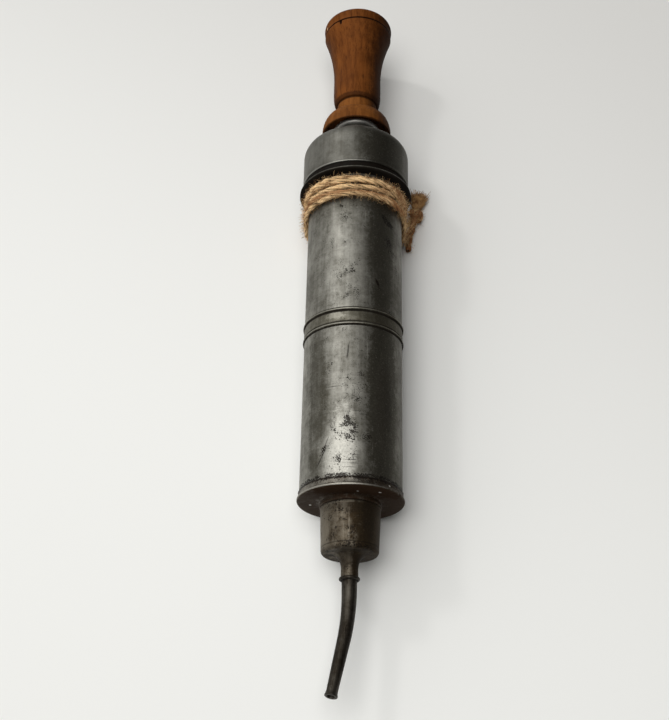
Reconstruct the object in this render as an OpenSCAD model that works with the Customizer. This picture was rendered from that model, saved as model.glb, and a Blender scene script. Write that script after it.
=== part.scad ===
// Pewter clyster syringe lying on a table, with a turned wooden handle and a twine binding.
// Each piece is turned on the barrel's own axis and then laid down on its two flanges.

/* [Barrel] */
// Outer diameter of the two barrel tubes
barrel_d = 56.5; // [50:0.5:64]
// Wall of the barrel tubes
barrel_wall = 2.75; // [2:0.25:4]
// Length of the lower tube, from the end plate to the middle joint
lower_len = 99; // [70:1:140]
// Length of the upper tube, from the middle joint to its top edge
upper_len = 105; // [80:1:140]
// Width of the band over the middle joint
band_w = 12; // [11:0.5:18]
// Depth to which the band is let into the tubes
band_rebate = 1.05; // [0.6:0.05:1.5]
// Height of the band above the tubes
band_rise = 0.3; // [0.1:0.1:0.8]
// Radius of the two beads on the band
bead_r = 0.6; // [0.3:0.1:0.8]
// Distance between the two beads
bead_gap = 9.2; // [5:0.2:9.4]

/* [End plate] */
// Width of the plate's rim outside the barrel
flange_rim = 1.25; // [0.8:0.05:4]
// Thickness of the plate
plate_t = 2; // [1.5:0.1:4]
// Height of the solder fillet above the plate
fillet_h = 3.5; // [2:0.5:6]
// Thickness of the fillet's top edge
fillet_edge = 0.35; // [0.2:0.05:0.7]
// Hollow of the fillet, as a share of its size
fillet_hollow = 0.35; // [0.25:0.05:0.45]
// Diameter of the ring on the nozzle side
ring_d = 34; // [33.4:0.2:42]
// Height of that ring
ring_h = 3; // [2:0.5:6]
// Diameter of the threaded boss
boss_d = 25.2; // [20:0.2:27]
// Length of the boss below the ring
boss_len = 17; // [12:0.5:24]
// Diameter of the outlet through the boss
outlet_d = 10; // [6:0.5:14]

/* [Mouth collar] */
// Width of the collar's flange outside the barrel
collar_rim = 5.95; // [5.5:0.05:8]
// Thickness of the flange
collar_t = 1.8; // [1.2:0.1:3]
// Depth to which the upper tube enters the collar
seat_depth = 8.4; // [5:0.2:12]
// Wall of the threaded spigot around the upper tube
spigot_wall = 1.25; // [1:0.05:2]
// Height of the spigot above the flange
spigot_h = 16.6; // [14:0.2:24]

/* [Screw cap] */
// Wall of the cap at its threaded skirt
cap_wall = 2.6; // [2:0.1:4]
// Height of the cap's straight side
cap_side_h = 21; // [19:0.5:30]
// Radius of the cap's round shoulder
shoulder_r = 9; // [8:0.5:13]
// Metal thickness at the top of the cap
cap_top_t = 3.4; // [2.5:0.1:5]
// Diameter of the step below the neck
step_d = 38.6; // [35:0.2:41]
// Height of that step
step_h = 6.4; // [3:0.1:8]
// Diameter of the plain neck
neck_d = 26.4; // [25:0.2:28]
// Height of the plain neck
neck_h = 5.8; // [3:0.2:8]
// Radius of the bead that crowns the neck
neck_bead_r = 2; // [1:0.1:2.5]
// How far that bead stands out of the neck
neck_bead_rise = 1.4; // [0.8:0.1:1.6]
// Space above the spigot inside the cap
skirt_space = 1.5; // [1:0.1:3]
// Thickness of the leather washer under the cap
cap_washer_t = 4.3; // [2:0.1:6]
// Width of that washer
cap_washer_w = 1.9; // [1.5:0.1:2.4]

/* [Plunger] */
// Diameter of the wooden rod
rod_d = 18; // [14:0.5:20]
// Diameter of the rod's tenon in the grip
tenon_d = 15; // [10:0.5:15]
// Length of that tenon
tenon_len = 34; // [20:1:50]
// Diameter of the iron stud in the rod's lower end
stud_d = 8; // [6:0.5:10]
// Depth of the stud in the rod
stud_in_rod = 25; // [15:1:40]
// Thickness of each piston disc
disc_t = 5; // [3:0.5:8]
// Diameter of the hub that the packing sits on
hub_d = 24; // [16:0.5:32]
// Height of the packing between the discs
packing_h = 14; // [8:0.5:24]
// Side of the square nut
nut_w = 14; // [12:0.5:18]
// Thickness of the nut
nut_t = 5; // [3:0.5:7]
// Space between the nut and the end plate with the plunger in
nut_space = 3; // [1.5:0.5:8]

/* [Handle] */
// Diameter of the base at its foot
base_d = 43.2; // [42:0.2:50]
// Height of the straight foot of the base
foot_h = 1.8; // [1:0.1:4]
// Height of the base's dome above the foot
dome_h = 12.5; // [9:0.5:18]
// Diameter of the neck between base and grip
handle_neck_d = 24.8; // [22:0.2:26]
// Height of that neck up to the grip's lower edge
handle_neck_h = 8.7; // [4:0.1:10]
// Depth to which the neck enters the grip
neck_socket_h = 0.8; // [0.4:0.1:2]
// Width of the ledge between the dome and the neck
neck_ledge = 0.6; // [0.4:0.1:1.2]
// Height of each step of the turned line on the neck
neck_line_h = 0.7; // [0.4:0.1:1]
// Depth of that line
neck_line_depth = 0.2; // [0.1:0.05:0.4]
// Depth of the hollow under the base
hollow_h = 5.6; // [3:0.2:7]
// Diameter of that hollow at its top
hollow_d = 35.6; // [32:0.2:38]
// Width of the base's lower edge around the hollow's mouth
hollow_edge = 0.5; // [0.3:0.1:1.5]
// Diameter of the grip at its waist
waist_d = 30; // [28.6:0.2:36]
// Length of the straight waist
waist_len = 19.8; // [12:0.2:40]
// Length of the curve from the waist to the ring groove
bell_len = 36.6; // [30:0.2:46]
// Radius of that curve
bell_r = 97; // [80:1:140]
// Inset of the grip's lower edge from the waist
grip_inset = 1.7; // [1:0.1:2]
// Height over which that edge rounds into the waist
grip_round_h = 7.6; // [4:0.2:10]
// Depth of the ring groove
groove_h = 0.8; // [0.4:0.1:1.2]
// How far the lip beyond the groove stands out
lip_rise = 0.4; // [0:0.1:1.5]
// Radius of that rounded lip
lip_r = 4; // [2.5:0.1:5]
// Length of the lip
lip_len = 8.5; // [7:0.1:12]
// Rise of the grip's end in its middle
end_rise = 1.5; // [0:0.1:4]

/* [Nozzle] */
// Diameter of the cup at its mouth
cup_mouth_d = 33; // [32.2:0.2:33.2]
// Diameter of the cup at its floor
cup_floor_d = 31.2; // [30.4:0.2:32]
// Thickness of the cup's floor
cup_floor_t = 5.7; // [4:0.1:8]
// Radius of the cup's lower edge
cup_edge_r = 2; // [1:0.1:3]
// Diameter of the flared neck where it leaves the cup
flare_d = 18.4; // [14:0.2:22]
// Diameter of the neck below the flare
throat_d = 9.3; // [8.6:0.1:11]
// Length of the flare
flare_len = 7.5; // [5:0.5:12]
// Length of the neck below the flare
throat_len = 5; // [4:0.5:10]
// Thickness of the leather washer in the cup
nozzle_washer_t = 3; // [2:0.1:4]
// Diameter of the passage through the cup's floor
passage_d = 5; // [4:0.1:5.4]
// Diameter of the tube's spigot in the neck
tube_spigot_d = 6.8; // [6.4:0.1:7]
// Length of that spigot
tube_spigot_len = 7; // [4:0.5:8]
// Radius of the solder bead
solder_r = 0.95; // [0.5:0.05:1.4]
// Diameter of the tube below the bead
tube_root_d = 8.4; // [7.8:0.1:9.2]
// Diameter of the tube just before its lip
tube_tip_d = 6; // [5.6:0.1:7]
// Diameter of the lip
tube_lip_d = 6.9; // [6:0.1:8]
// Length of the lip's flare
tube_lip_len = 3; // [2:0.5:5]
// Straight length below the bead
tube_straight = 8.5; // [4:0.5:20]
// Length of the bend
tube_bend_len = 25; // [15:1:40]
// Length from the bend to the lip's end
tube_end_len = 30.5; // [20:0.5:40]
// Angle of the bend
tube_bend = 15; // [5:1:30]
// Direction of the bend above level, towards the left
tube_roll = 41; // [0:1:90]
// Diameter of the hole at the tip
tip_bore_d = 3.8; // [3:0.1:4.2]
// Length of the straight hole at the tip
tip_bore_len = 10; // [6:1:16]

/* [Twine] */
// Diameter of the twine
twine_d = 2.9; // [2.5:0.1:3.2]
// Turns around the barrel
twine_turns = 5; // [3:1:6]
// Space between neighbouring turns
twine_gap = 0.45; // [0.42:0.01:0.8]
// Space from the collar's flange to the first turn
twine_start = 0.6; // [0.4:0.1:3]
// Squareness of the slack lower half of a turn
twine_slack = 4; // [2.5:0.1:6]
// Height of the twine above the table
twine_lift = 0.4; // [0.3:0.1:1]
// Radius of the knot's two lobes
knot_r = 4.2; // [3.5:0.1:5]

/* [Edges] */
// Bevel on the turned metal edges
edge_bevel = 0.5; // [0.2:0.05:0.6]
// Bevel on the wooden edges
wood_bevel = 0.5; // [0.2:0.05:0.8]

/* [Clearances] */
// Space between a threaded piece and its mate
thread_gap = 0.3; // [0.25:0.05:0.5]
// Space between washers and what they seal
seat_gap = 0.15; // [0.1:0.05:0.3]
// Space around the rod in the cap
rod_gap = 0.4; // [0.3:0.05:0.8]
// Space between the piston discs and the bore
disc_gap = 0.5; // [0.3:0.05:0.8]
// Space between the packing and what it touches
packing_gap = 0.3; // [0.25:0.05:0.4]
// Space between the handle's base and the neck with the plunger in
handle_gap = 0.6; // [0.4:0.1:2]
// Glue or solder space in fixed joints
joint_gap = 0.05; // [0.02:0.01:0.1]

/* [Hidden] */
$fn = 96;
ARC_STEPS = 12;
TUBE_SIDES = 32;
BORE_SIDES = 16;
OVERLAP = 1;
TUBE_STEPS = 26;
LOOP_STEPS = 24;
LOOP_SIDES = 6;
TAIL_SIDES = 8;
TWINE_START_ANGLE = -62;
TWINE_END_ANGLE = -25;
LIP_FROM = -15;
NECK_BEAD_FROM = -60;
RIM_TO = 60;

// Radii
barrel_r = barrel_d / 2;
bore_r = barrel_r - barrel_wall;
flange_r = barrel_r + flange_rim;
collar_r = barrel_r + collar_rim;
spigot_r = barrel_r + spigot_wall;
cap_bore_r = spigot_r + thread_gap;
cap_r = cap_bore_r + cap_wall;
rod_hole_r = rod_d / 2 + rod_gap;
disc_r = bore_r - disc_gap;
packing_r = bore_r - packing_gap;
cup_bore_r = boss_d / 2 + thread_gap;
bell_end_r = waist_d / 2 + pow(bell_len - groove_h, 2) / (2 * bell_r);
lip_max_r = bell_end_r + lip_rise;

// Heights along the barrel's axis, from the nozzle side of the end plate
joint_s = plate_t + lower_len;
barrel_top = joint_s + upper_len;
collar_s = barrel_top - seat_depth;
collar_top = collar_s + collar_t;
spigot_top = collar_top + spigot_h;
cap_washer_s = collar_top + seat_gap;
cap_s = cap_washer_s + cap_washer_t + seat_gap;
shoulder_s = cap_s + cap_side_h;
cap_top = shoulder_s + shoulder_r;
step_top = cap_top + step_h;
neck_top = step_top + neck_h;
cap_end = neck_top + 2 * neck_bead_r;
hollow_top = cap_end + handle_gap;
base_s = hollow_top - hollow_h;
dome_s = base_s + foot_h;
neck_s = dome_s + dome_h;
grip_s = neck_s + handle_neck_h;
neck_end = grip_s + neck_socket_h;
bell_s = grip_s + waist_len;
groove_s = bell_s + bell_len;
lip_s = groove_s + groove_h;
grip_end = lip_s + lip_len + end_rise;
nut_s = plate_t + nut_space;
front_disc_s = nut_s + nut_t;
packing_s = front_disc_s + disc_t;
rear_disc_s = packing_s + packing_h;
rod_s = rear_disc_s + disc_t;
ring_bottom = -ring_h;
boss_bottom = ring_bottom - boss_len;
nozzle_washer_s = boss_bottom - seat_gap;
cup_floor_s = nozzle_washer_s - nozzle_washer_t - seat_gap;
cup_mouth_s = ring_bottom - seat_gap;
cup_bottom = cup_floor_s - cup_floor_t;
flare_bottom = cup_bottom - flare_len;
throat_bottom = flare_bottom - throat_len;

// How the syringe lies: the round rims of the two flanges touch the table
collar_touch = collar_s + collar_t / 2;
flange_touch = plate_t / 2;
rim_rise = collar_r - collar_t / 2 - flange_r + plate_t / 2;
rim_span = collar_touch - flange_touch;
lie_angle = atan2(rim_rise, rim_span) + asin((collar_t - plate_t) / 2 / norm([rim_rise, rim_span]));
axis_height = (flange_r - plate_t / 2) * cos(lie_angle) + plate_t / 2 - flange_touch * sin(lie_angle);

// Nozzle tube: straight, bent on an arc, then straight to the tip
tube_len = tube_straight + tube_bend_len + tube_end_len;
bend_r = tube_bend_len / (tube_bend * PI / 180);
function tube_side(d) = d < tube_straight ? 0
    : d < tube_straight + tube_bend_len ? bend_r * (1 - cos((d - tube_straight) / bend_r * 180 / PI))
    : bend_r * (1 - cos(tube_bend)) + (d - tube_straight - tube_bend_len) * sin(tube_bend);
function tube_down(d) = d < tube_straight ? d
    : d < tube_straight + tube_bend_len
        ? tube_straight + bend_r * sin((d - tube_straight) / bend_r * 180 / PI)
    : tube_straight + bend_r * sin(tube_bend) + (d - tube_straight - tube_bend_len) * cos(tube_bend);
function tube_point(d) = [-tube_side(d) * cos(tube_roll), -tube_side(d) * sin(tube_roll),
    throat_bottom - joint_gap - tube_down(d)];
function tube_radius(d) = let(t = d / (tube_len - tube_lip_len))
    t < 1 ? (tube_root_d + (tube_tip_d - tube_root_d) * t) / 2
    : (tube_tip_d + (tube_lip_d - tube_tip_d) * (d - tube_len + tube_lip_len) / tube_lip_len) / 2;
tip = tube_point(tube_len);

// The origin is on the table, under the middle of the length
tip_reach = tube_lip_d / 2 * sin(tube_bend);
length_shift = -(grip_end + tip[2] - tip_reach) * cos(lie_angle) / 2 - tip[1] * sin(lie_angle) / 2;
function laid(p) = [p[0], p[2] * cos(lie_angle) + p[1] * sin(lie_angle) + length_shift,
    axis_height + p[2] * sin(lie_angle) - p[1] * cos(lie_angle)];
collar_foot = [0, laid([0, collar_r, collar_touch])[1], 0];

// Twine route: points are right of, beyond and above the place where the collar meets the table
twine_r = twine_d / 2;
twine_pitch = twine_d + twine_gap;
loop_r = (barrel_r + twine_r + joint_gap) / cos(180 / LOOP_STEPS);
knot_at = [38, 6, 5];
under_lead = [[36, 4, 3], [33, 2, 2], [27, -2, 2]];
side_lead = [[33, -12, 8], [35, -5, 5], [37, 0, 6], [38, 3, 7]];
upper_tail = [[39, 8, 5], [41, 13, 3], [43, 18, 2], [44, 24, 2]];
lower_tail = [[39, 4, 4], [39, -2, 2], [37, -9, 2], [36, -17, 2]];

// Colours
PEWTER = [0.42, 0.41, 0.39];
DARK_PEWTER = [0.25, 0.22, 0.19];
WOOD = [0.40, 0.21, 0.09];
PALE_WOOD = [0.50, 0.28, 0.12];
LEATHER = [0.10, 0.07, 0.05];
IRON = [0.20, 0.19, 0.18];
TOW = [0.62, 0.54, 0.40];
JUTE = [0.60, 0.45, 0.28];

// Helpers
function arc(c, r, from, to) = [for (i = [0 : ARC_STEPS]) let(a = from + (to - from) * i / ARC_STEPS)
    c + r * [cos(a), sin(a)]];
function flip(points) = [for (i = [len(points) - 1 : -1 : 0]) points[i]];
function unit(v) = v / norm(v);
function heading(path, i) = unit(path[min(i + 1, len(path) - 1)] - path[max(i - 1, 0)]);
function square_to(v, t) = unit(v - (v * t) * t);
function sides_of(path, first) = [for (i = 0, u = square_to(first, heading(path, 0)); i < len(path);
    i = i + 1, u = i < len(path) ? square_to(u, heading(path, i)) : u) u];
function tube_faces(rings, sides) = concat(
    [for (i = [0 : rings - 2], k = [0 : sides - 1], half = [0, 1]) let(a = i * sides + k,
        b = i * sides + (k + 1) % sides) half == 0 ? [a, b + sides, b] : [a, a + sides, b + sides]],
    [for (k = [1 : sides - 2]) [0, k, k + 1]],
    [for (k = [1 : sides - 2]) let(z = (rings - 1) * sides) [z, z + k + 1, z + k]]);

// A closed tube along a path, one radius for each point; first is any direction across its start
module tube_along(path, radii, sides, first) {
    across = sides_of(path, first);
    points = [for (i = [0 : len(path) - 1], k = [0 : sides - 1]) let(t = heading(path, i), u = across[i],
        a = 360 * (k + 0.5) / sides) path[i] + radii[i] * (cos(a) * u + sin(a) * cross(t, u))];
    polyhedron(points, tube_faces(len(path), sides), convexity = 6);
}

module turned(outline) {
    rotate_extrude() polygon(outline);
}

// A plain ring between two radii
module sleeve(inner, outer, from, to) {
    turned([[inner, from], [outer, from], [outer, to], [inner, to]]);
}

// Lays a piece that was turned on the upright axis down on the table
module lay() {
    translate([0, length_shift, axis_height]) rotate([lie_angle - 90, 0, 0]) children();
}

// Handle and plunger

// Grip: undercut foot, straight waist, bell curve, ring groove and a rounded lip
module handle_grip() {
    waist_r = waist_d / 2;
    bell = [for (i = [0 : ARC_STEPS]) let(h = (bell_len - groove_h) * i / ARC_STEPS)
        [waist_r + pow(h, 2) / (2 * bell_r), bell_s + h]];
    socket_r = handle_neck_d / 2 + joint_gap;
    socket_top = neck_end + joint_gap;
    tenon_r = tenon_d / 2 + joint_gap;
    tenon_top = neck_end + tenon_len + joint_gap;
    lip_c = [lip_max_r - lip_r, grip_end - end_rise - lip_r];
    color(WOOD) lay() turned(concat(
        [[tenon_r, tenon_top], [tenon_r, socket_top], [socket_r, socket_top], [socket_r, grip_s],
            [waist_r - grip_inset, grip_s],
            [waist_r - grip_inset / 3, grip_s + grip_round_h / 3], [waist_r, grip_s + grip_round_h]],
        bell,
        [[bell_end_r - groove_h, groove_s], [bell_end_r, lip_s]],
        arc(lip_c, lip_r, LIP_FROM, 90), [[0, grip_end], [0, tenon_top]]));
}

// Base: foot, dome and a neck with a turned line, hollow underneath to cover the cap's neck
module handle_base() {
    neck_r = handle_neck_d / 2;
    ledge_r = neck_r + neck_ledge;
    dome = [for (i = [0 : ARC_STEPS]) let(a = 90 * i / ARC_STEPS)
        [ledge_r + (base_d / 2 - ledge_r) * cos(a), dome_s + dome_h * sin(a)]];
    rod_r = rod_d / 2 + joint_gap;
    edge_r = base_d / 2 - wood_bevel;
    color(PALE_WOOD) lay() turned(concat(
        [[rod_r, hollow_top], [hollow_d / 2, hollow_top], [edge_r - hollow_edge, base_s],
            [edge_r, base_s], [base_d / 2, base_s + wood_bevel]],
        dome,
        [[ledge_r, neck_s + neck_line_h], [neck_r - neck_line_depth, neck_s + 2 * neck_line_h],
            [neck_r, neck_s + 3 * neck_line_h], [neck_r, neck_end], [rod_r, neck_end]]));
}

// Wooden rod with a tenon for the grip and a hole for the stud
module piston_rod() {
    rod_r = rod_d / 2;
    hole_r = stud_d / 2 + joint_gap;
    hole_top = rod_s + stud_in_rod + joint_gap;
    color(PALE_WOOD) lay() turned([[hole_r, rod_s], [rod_r, rod_s], [rod_r, neck_end],
        [tenon_d / 2, neck_end], [tenon_d / 2, neck_end + tenon_len], [0, neck_end + tenon_len],
        [0, hole_top], [hole_r, hole_top]]);
}

// Iron stud that carries the piston
module rod_stud() {
    color(IRON) lay() translate([0, 0, nut_s]) cylinder(d = stud_d, h = rod_s + stud_in_rod - nut_s);
}

module piston_rear_disc() {
    color(PEWTER) lay() sleeve(stud_d / 2 + joint_gap, disc_r, rear_disc_s, rod_s);
}

// Ring of tow between the discs
module piston_packing() {
    color(TOW) lay() sleeve(hub_d / 2 + packing_gap, packing_r, packing_s + packing_gap,
        rear_disc_s - packing_gap);
}

// Front disc with the hub that the packing is wound on
module piston_front_disc() {
    hole_r = stud_d / 2 + joint_gap;
    color(PEWTER) lay() turned([[hole_r, front_disc_s], [disc_r, front_disc_s], [disc_r, packing_s],
        [hub_d / 2, packing_s], [hub_d / 2, rear_disc_s], [hole_r, rear_disc_s]]);
}

module piston_nut() {
    color(IRON) lay() difference() {
        translate([-nut_w / 2, -nut_w / 2, nut_s]) cube([nut_w, nut_w, nut_t]);
        translate([0, 0, nut_s - OVERLAP]) cylinder(d = stud_d + 2 * joint_gap, h = nut_t + 2 * OVERLAP);
    }
}

// Cap and mouth

// Screw cap: threaded skirt, round shoulder, step and beaded neck
module screw_cap() {
    shoulder_c = [cap_r - shoulder_r, shoulder_s];
    inner_r = shoulder_r - cap_top_t;
    skirt_top = spigot_top + skirt_space;
    neck_r = neck_d / 2;
    step_r = step_d / 2;
    bead_c = [neck_r + neck_bead_rise - neck_bead_r, neck_top + neck_bead_r];
    color(PEWTER) lay() turned(concat(
        [[rod_hole_r, cap_top - cap_top_t]], flip(arc(shoulder_c, inner_r, 0, 90)),
        [[shoulder_c[0] + inner_r, skirt_top], [cap_bore_r, skirt_top], [cap_bore_r, cap_s],
            [cap_r - edge_bevel, cap_s], [cap_r, cap_s + edge_bevel]],
        arc(shoulder_c, shoulder_r, 0, 90),
        [[step_r + edge_bevel / 2, cap_top + edge_bevel], [step_r, step_top - edge_bevel],
            [step_r - edge_bevel, step_top], [neck_r + 2 * edge_bevel, step_top],
            [neck_r, step_top + 2 * edge_bevel], [neck_r, neck_top]],
        arc(bead_c, neck_bead_r, NECK_BEAD_FROM, 90), [[rod_hole_r, cap_end]]));
}

module cap_washer() {
    inner = spigot_r + thread_gap;
    color(LEATHER) lay() sleeve(inner, inner + cap_washer_w, cap_washer_s, cap_washer_s + cap_washer_t);
}

// Collar: thin round-edged flange and the spigot that the cap screws on
module mouth_collar() {
    seat_r = barrel_r + joint_gap;
    rim_c = [collar_r - collar_t / 2, collar_s + collar_t / 2];
    color(DARK_PEWTER) lay() turned(concat(
        [[seat_r, collar_s]], arc(rim_c, collar_t / 2, -90, 90),
        [[spigot_r, collar_top], [spigot_r, spigot_top - edge_bevel],
            [spigot_r - edge_bevel, spigot_top], [bore_r, spigot_top],
            [bore_r, barrel_top + joint_gap], [seat_r, barrel_top + joint_gap]]));
}

// Barrel

module upper_barrel() {
    rebate_r = barrel_r - band_rebate;
    rebate_s = joint_s + band_w / 2;
    color(PEWTER) lay() turned([[bore_r, joint_s + joint_gap], [rebate_r, joint_s + joint_gap],
        [rebate_r, rebate_s], [barrel_r, rebate_s], [barrel_r, barrel_top], [bore_r, barrel_top]]);
}

// Band with two beads, soldered over the joint of the tubes
module middle_band() {
    inner = barrel_r - band_rebate + joint_gap;
    outer = barrel_r + band_rise;
    half = band_w / 2 - joint_gap;
    color(PEWTER) lay() rotate_extrude() {
        translate([inner, joint_s - half]) square([outer - inner, 2 * half]);
        for (side = [-1, 1])
            translate([outer - bead_r / 3, joint_s + side * bead_gap / 2]) circle(bead_r);
    }
}

module lower_barrel() {
    rebate_r = barrel_r - band_rebate;
    rebate_s = joint_s - band_w / 2;
    foot_s = plate_t + joint_gap;
    color(PEWTER) lay() turned([[bore_r, foot_s], [barrel_r, foot_s], [barrel_r, rebate_s],
        [rebate_r, rebate_s], [rebate_r, joint_s - joint_gap], [bore_r, joint_s - joint_gap]]);
}

// End plate: flange with a solder fillet outside, and the ring and boss on the nozzle side
module end_plate() {
    seat_r = barrel_r + joint_gap;
    rim_c = [flange_r - plate_t / 2, plate_t / 2];
    fillet_r = barrel_r + fillet_edge;
    color(DARK_PEWTER) lay() turned(concat(
        [[outlet_d / 2, boss_bottom], [boss_d / 2, boss_bottom], [boss_d / 2, ring_bottom],
            [ring_d / 2 - edge_bevel, ring_bottom], [ring_d / 2, ring_bottom + edge_bevel], [ring_d / 2, 0]],
        arc(rim_c, plate_t / 2, -90, RIM_TO),
        [[fillet_r + (flange_r - fillet_r) * fillet_hollow, plate_t + fillet_h * fillet_hollow],
            [fillet_r, plate_t + fillet_h], [seat_r, plate_t + fillet_h],
            [seat_r, plate_t], [outlet_d / 2, plate_t]]));
}

// Nozzle

module nozzle_washer() {
    color(LEATHER) lay() sleeve(outlet_d / 2, cup_bore_r - thread_gap, nozzle_washer_s - nozzle_washer_t,
        nozzle_washer_s);
}

// Cup that screws on the boss, with the flared neck that holds the tube
module nozzle_cup() {
    edge_c = [cup_floor_d / 2 - cup_edge_r, cup_bottom + cup_edge_r];
    flare = [for (i = [0 : ARC_STEPS]) let(a = 90 * i / ARC_STEPS)
        [throat_d / 2 + (flare_d - throat_d) / 2 * (1 - cos(a)), flare_bottom + flare_len * sin(a)]];
    socket_r = tube_spigot_d / 2 + joint_gap;
    socket_top = throat_bottom + tube_spigot_len;
    color(DARK_PEWTER) lay() turned(concat(
        [[passage_d / 2, cup_floor_s], [passage_d / 2, socket_top], [socket_r, socket_top],
            [socket_r, throat_bottom], [throat_d / 2, throat_bottom]],
        flare, arc(edge_c, cup_edge_r, -90, 0),
        [[cup_mouth_d / 2, cup_mouth_s - edge_bevel], [cup_mouth_d / 2 - edge_bevel, cup_mouth_s],
            [cup_bore_r, cup_mouth_s], [cup_bore_r, cup_floor_s]]));
}

// Solder bead round the joint of neck and tube
module nozzle_bead() {
    inner = throat_d / 2 + joint_gap;
    color(DARK_PEWTER) lay() rotate_extrude() difference() {
        translate([inner, throat_bottom - solder_r / 2]) circle(solder_r);
        translate([0, throat_bottom - 2 * solder_r]) square([inner, 4 * solder_r]);
    }
}

// Bent tube, with its straight spigot in the neck and an exact hole at the tip
module nozzle_tube() {
    hole_d = tip_bore_d - 2 * joint_gap;
    tip_way = [-sin(tube_bend) * cos(tube_roll), -sin(tube_bend) * sin(tube_roll), -cos(tube_bend)];
    stations = [for (i = [0 : TUBE_STEPS]) tube_len * i / TUBE_STEPS];
    path = [for (d = stations) tube_point(d)];
    color(DARK_PEWTER) lay() difference() {
        union() {
            tube_along(path, [for (d = stations) tube_radius(d)], TUBE_SIDES, [1, 0, 0]);
            translate(path[0] - [0, 0, OVERLAP])
                cylinder(d = tube_spigot_d, h = tube_spigot_len + OVERLAP - joint_gap);
        }
        tube_along(concat([path[0] + [0, 0, tube_spigot_len + OVERLAP]], path),
            [for (i = [0 : len(path)]) hole_d / 2], BORE_SIDES, [1, 0, 0]);
        translate(tip + OVERLAP * tip_way) rotate([0, tube_bend, tube_roll])
            cylinder(d = tip_bore_d, h = tip_bore_len + OVERLAP);
    }
}

// Twine

// Centre of the twine at an angle round the barrel: close on top, hanging to the table below
function loop_reach(angle, s) = let(
    low = laid([0, 0, s])[2] / cos(lie_angle) - twine_r - twine_lift)
    sin(angle) >= 0 ? loop_r
    : pow(pow(abs(cos(angle)) / loop_r, twine_slack) + pow(abs(sin(angle)) / low, twine_slack),
        -1 / twine_slack);
function loop_point(angle, s) = let(r = loop_reach(angle, s)) laid([r * cos(angle), -r * sin(angle), s]);

// The winding goes under the barrel from the knot, round clockwise, and comes down to the knot
twine_sweep = 360 * twine_turns + TWINE_START_ANGLE - TWINE_END_ANGLE;
twine_steps = round(LOOP_STEPS * twine_sweep / 360);
first_turn_s = collar_s - twine_start - twine_r;
turns_path = [for (i = [0 : twine_steps]) let(a = twine_sweep * i / twine_steps)
    loop_point(TWINE_START_ANGLE - a, first_turn_s - twine_pitch * a / 360)];
winding_path = concat([for (p = under_lead) p + collar_foot], turns_path,
    [for (p = side_lead) p + collar_foot]);
near_steps = LOOP_STEPS / 3;
least_gap = min([for (i = [0 : len(winding_path) - 1 - near_steps])
    for (j = [i + near_steps : len(winding_path) - 1]) norm(winding_path[i] - winding_path[j])]) - twine_d;
echo(str("Least gap of the twine winding to itself: ", least_gap, " mm"));

module twine_winding() {
    color(JUTE) tube_along(winding_path, [for (p = winding_path) twine_r], LOOP_SIDES, [0, 1, 0]);
}

module twine_knot() {
    color(JUTE) translate(collar_foot + knot_at) for (side = [-1, 1])
        translate([0, side * knot_r / 2, 0]) sphere(knot_r);
}

module twine_upper_tail() {
    color(JUTE) translate(collar_foot) tube_along(upper_tail, [for (p = upper_tail) twine_r], TAIL_SIDES,
        [0, 0, 1]);
}

module twine_lower_tail() {
    color(JUTE) translate(collar_foot) tube_along(lower_tail, [for (p = lower_tail) twine_r], TAIL_SIDES,
        [0, 0, 1]);
}

handle_grip();
handle_base();
piston_rod();
rod_stud();
piston_rear_disc();
piston_packing();
piston_front_disc();
piston_nut();
screw_cap();
cap_washer();
mouth_collar();
upper_barrel();
middle_band();
lower_barrel();
end_plate();
nozzle_washer();
nozzle_cup();
nozzle_bead();
nozzle_tube();
twine_winding();
twine_knot();
twine_upper_tail();
twine_lower_tail();
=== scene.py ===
import random
from math import ceil, cos, dist, inf, pi, radians, sin

import bmesh
import bpy
import numpy as np
from mathutils import Matrix, Vector


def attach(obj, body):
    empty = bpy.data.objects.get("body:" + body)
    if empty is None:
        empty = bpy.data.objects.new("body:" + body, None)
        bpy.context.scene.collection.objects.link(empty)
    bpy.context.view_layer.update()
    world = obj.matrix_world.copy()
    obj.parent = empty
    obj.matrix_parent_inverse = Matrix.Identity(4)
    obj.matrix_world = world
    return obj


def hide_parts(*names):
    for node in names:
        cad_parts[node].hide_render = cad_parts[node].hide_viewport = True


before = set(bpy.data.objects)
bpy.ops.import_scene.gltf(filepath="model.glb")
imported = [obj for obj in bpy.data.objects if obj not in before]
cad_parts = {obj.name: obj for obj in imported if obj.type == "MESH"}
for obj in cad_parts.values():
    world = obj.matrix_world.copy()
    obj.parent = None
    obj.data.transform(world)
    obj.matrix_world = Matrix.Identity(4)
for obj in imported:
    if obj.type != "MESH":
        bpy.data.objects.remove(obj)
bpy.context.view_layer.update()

# Table and light
# The syringe lies on a white sheet whose colour is painted darker towards the far right, as painted shade.
# A bright room stands open on the left, a broad lamp hangs overhead with a second one beyond the handle,
# and the right side of the room is dim.
SHEET_HALF = 4.0
SHEET_DROP = 0.0003
SHEET_LIT, SHEET_SHADED = (0.87, 0.875, 0.86, 1), (0.72, 0.715, 0.70, 1)
SHEET_SHADE_WAY, SHEET_SHADE_FADE = (0.5, 0.86, 0), (-0.14, 0.38)
LAMP_AWAY = 1.4
LAMP_COLOUR = (1.0, 0.99, 0.97)
LAMPS = {"broad_lamp": ((-0.13, -0.15, 0.98), 1.0, 10.6), "far_lamp": ((-0.54, 0.47, 0.70), 0.16, 2.1)}
ROOM_LEFT, ROOM_RIGHT = (1.0, 1.0, 0.98, 1), (0.035, 0.032, 0.028, 1)
ROOM_NEAR_SHARE, ROOM_LOW_SHARE, ROOM_HIGH_SHARE = 0.45, 0.68, 1.1
bpy.context.scene.view_settings.view_transform = "Standard"


def feed(node, inputs):
    """Gives a node's inputs their values and links."""
    for name, value in inputs.items():
        if isinstance(value, bpy.types.NodeSocket):
            node.id_data.links.new(value, node.inputs[name])
        else:
            node.inputs[name].default_value = value


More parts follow.
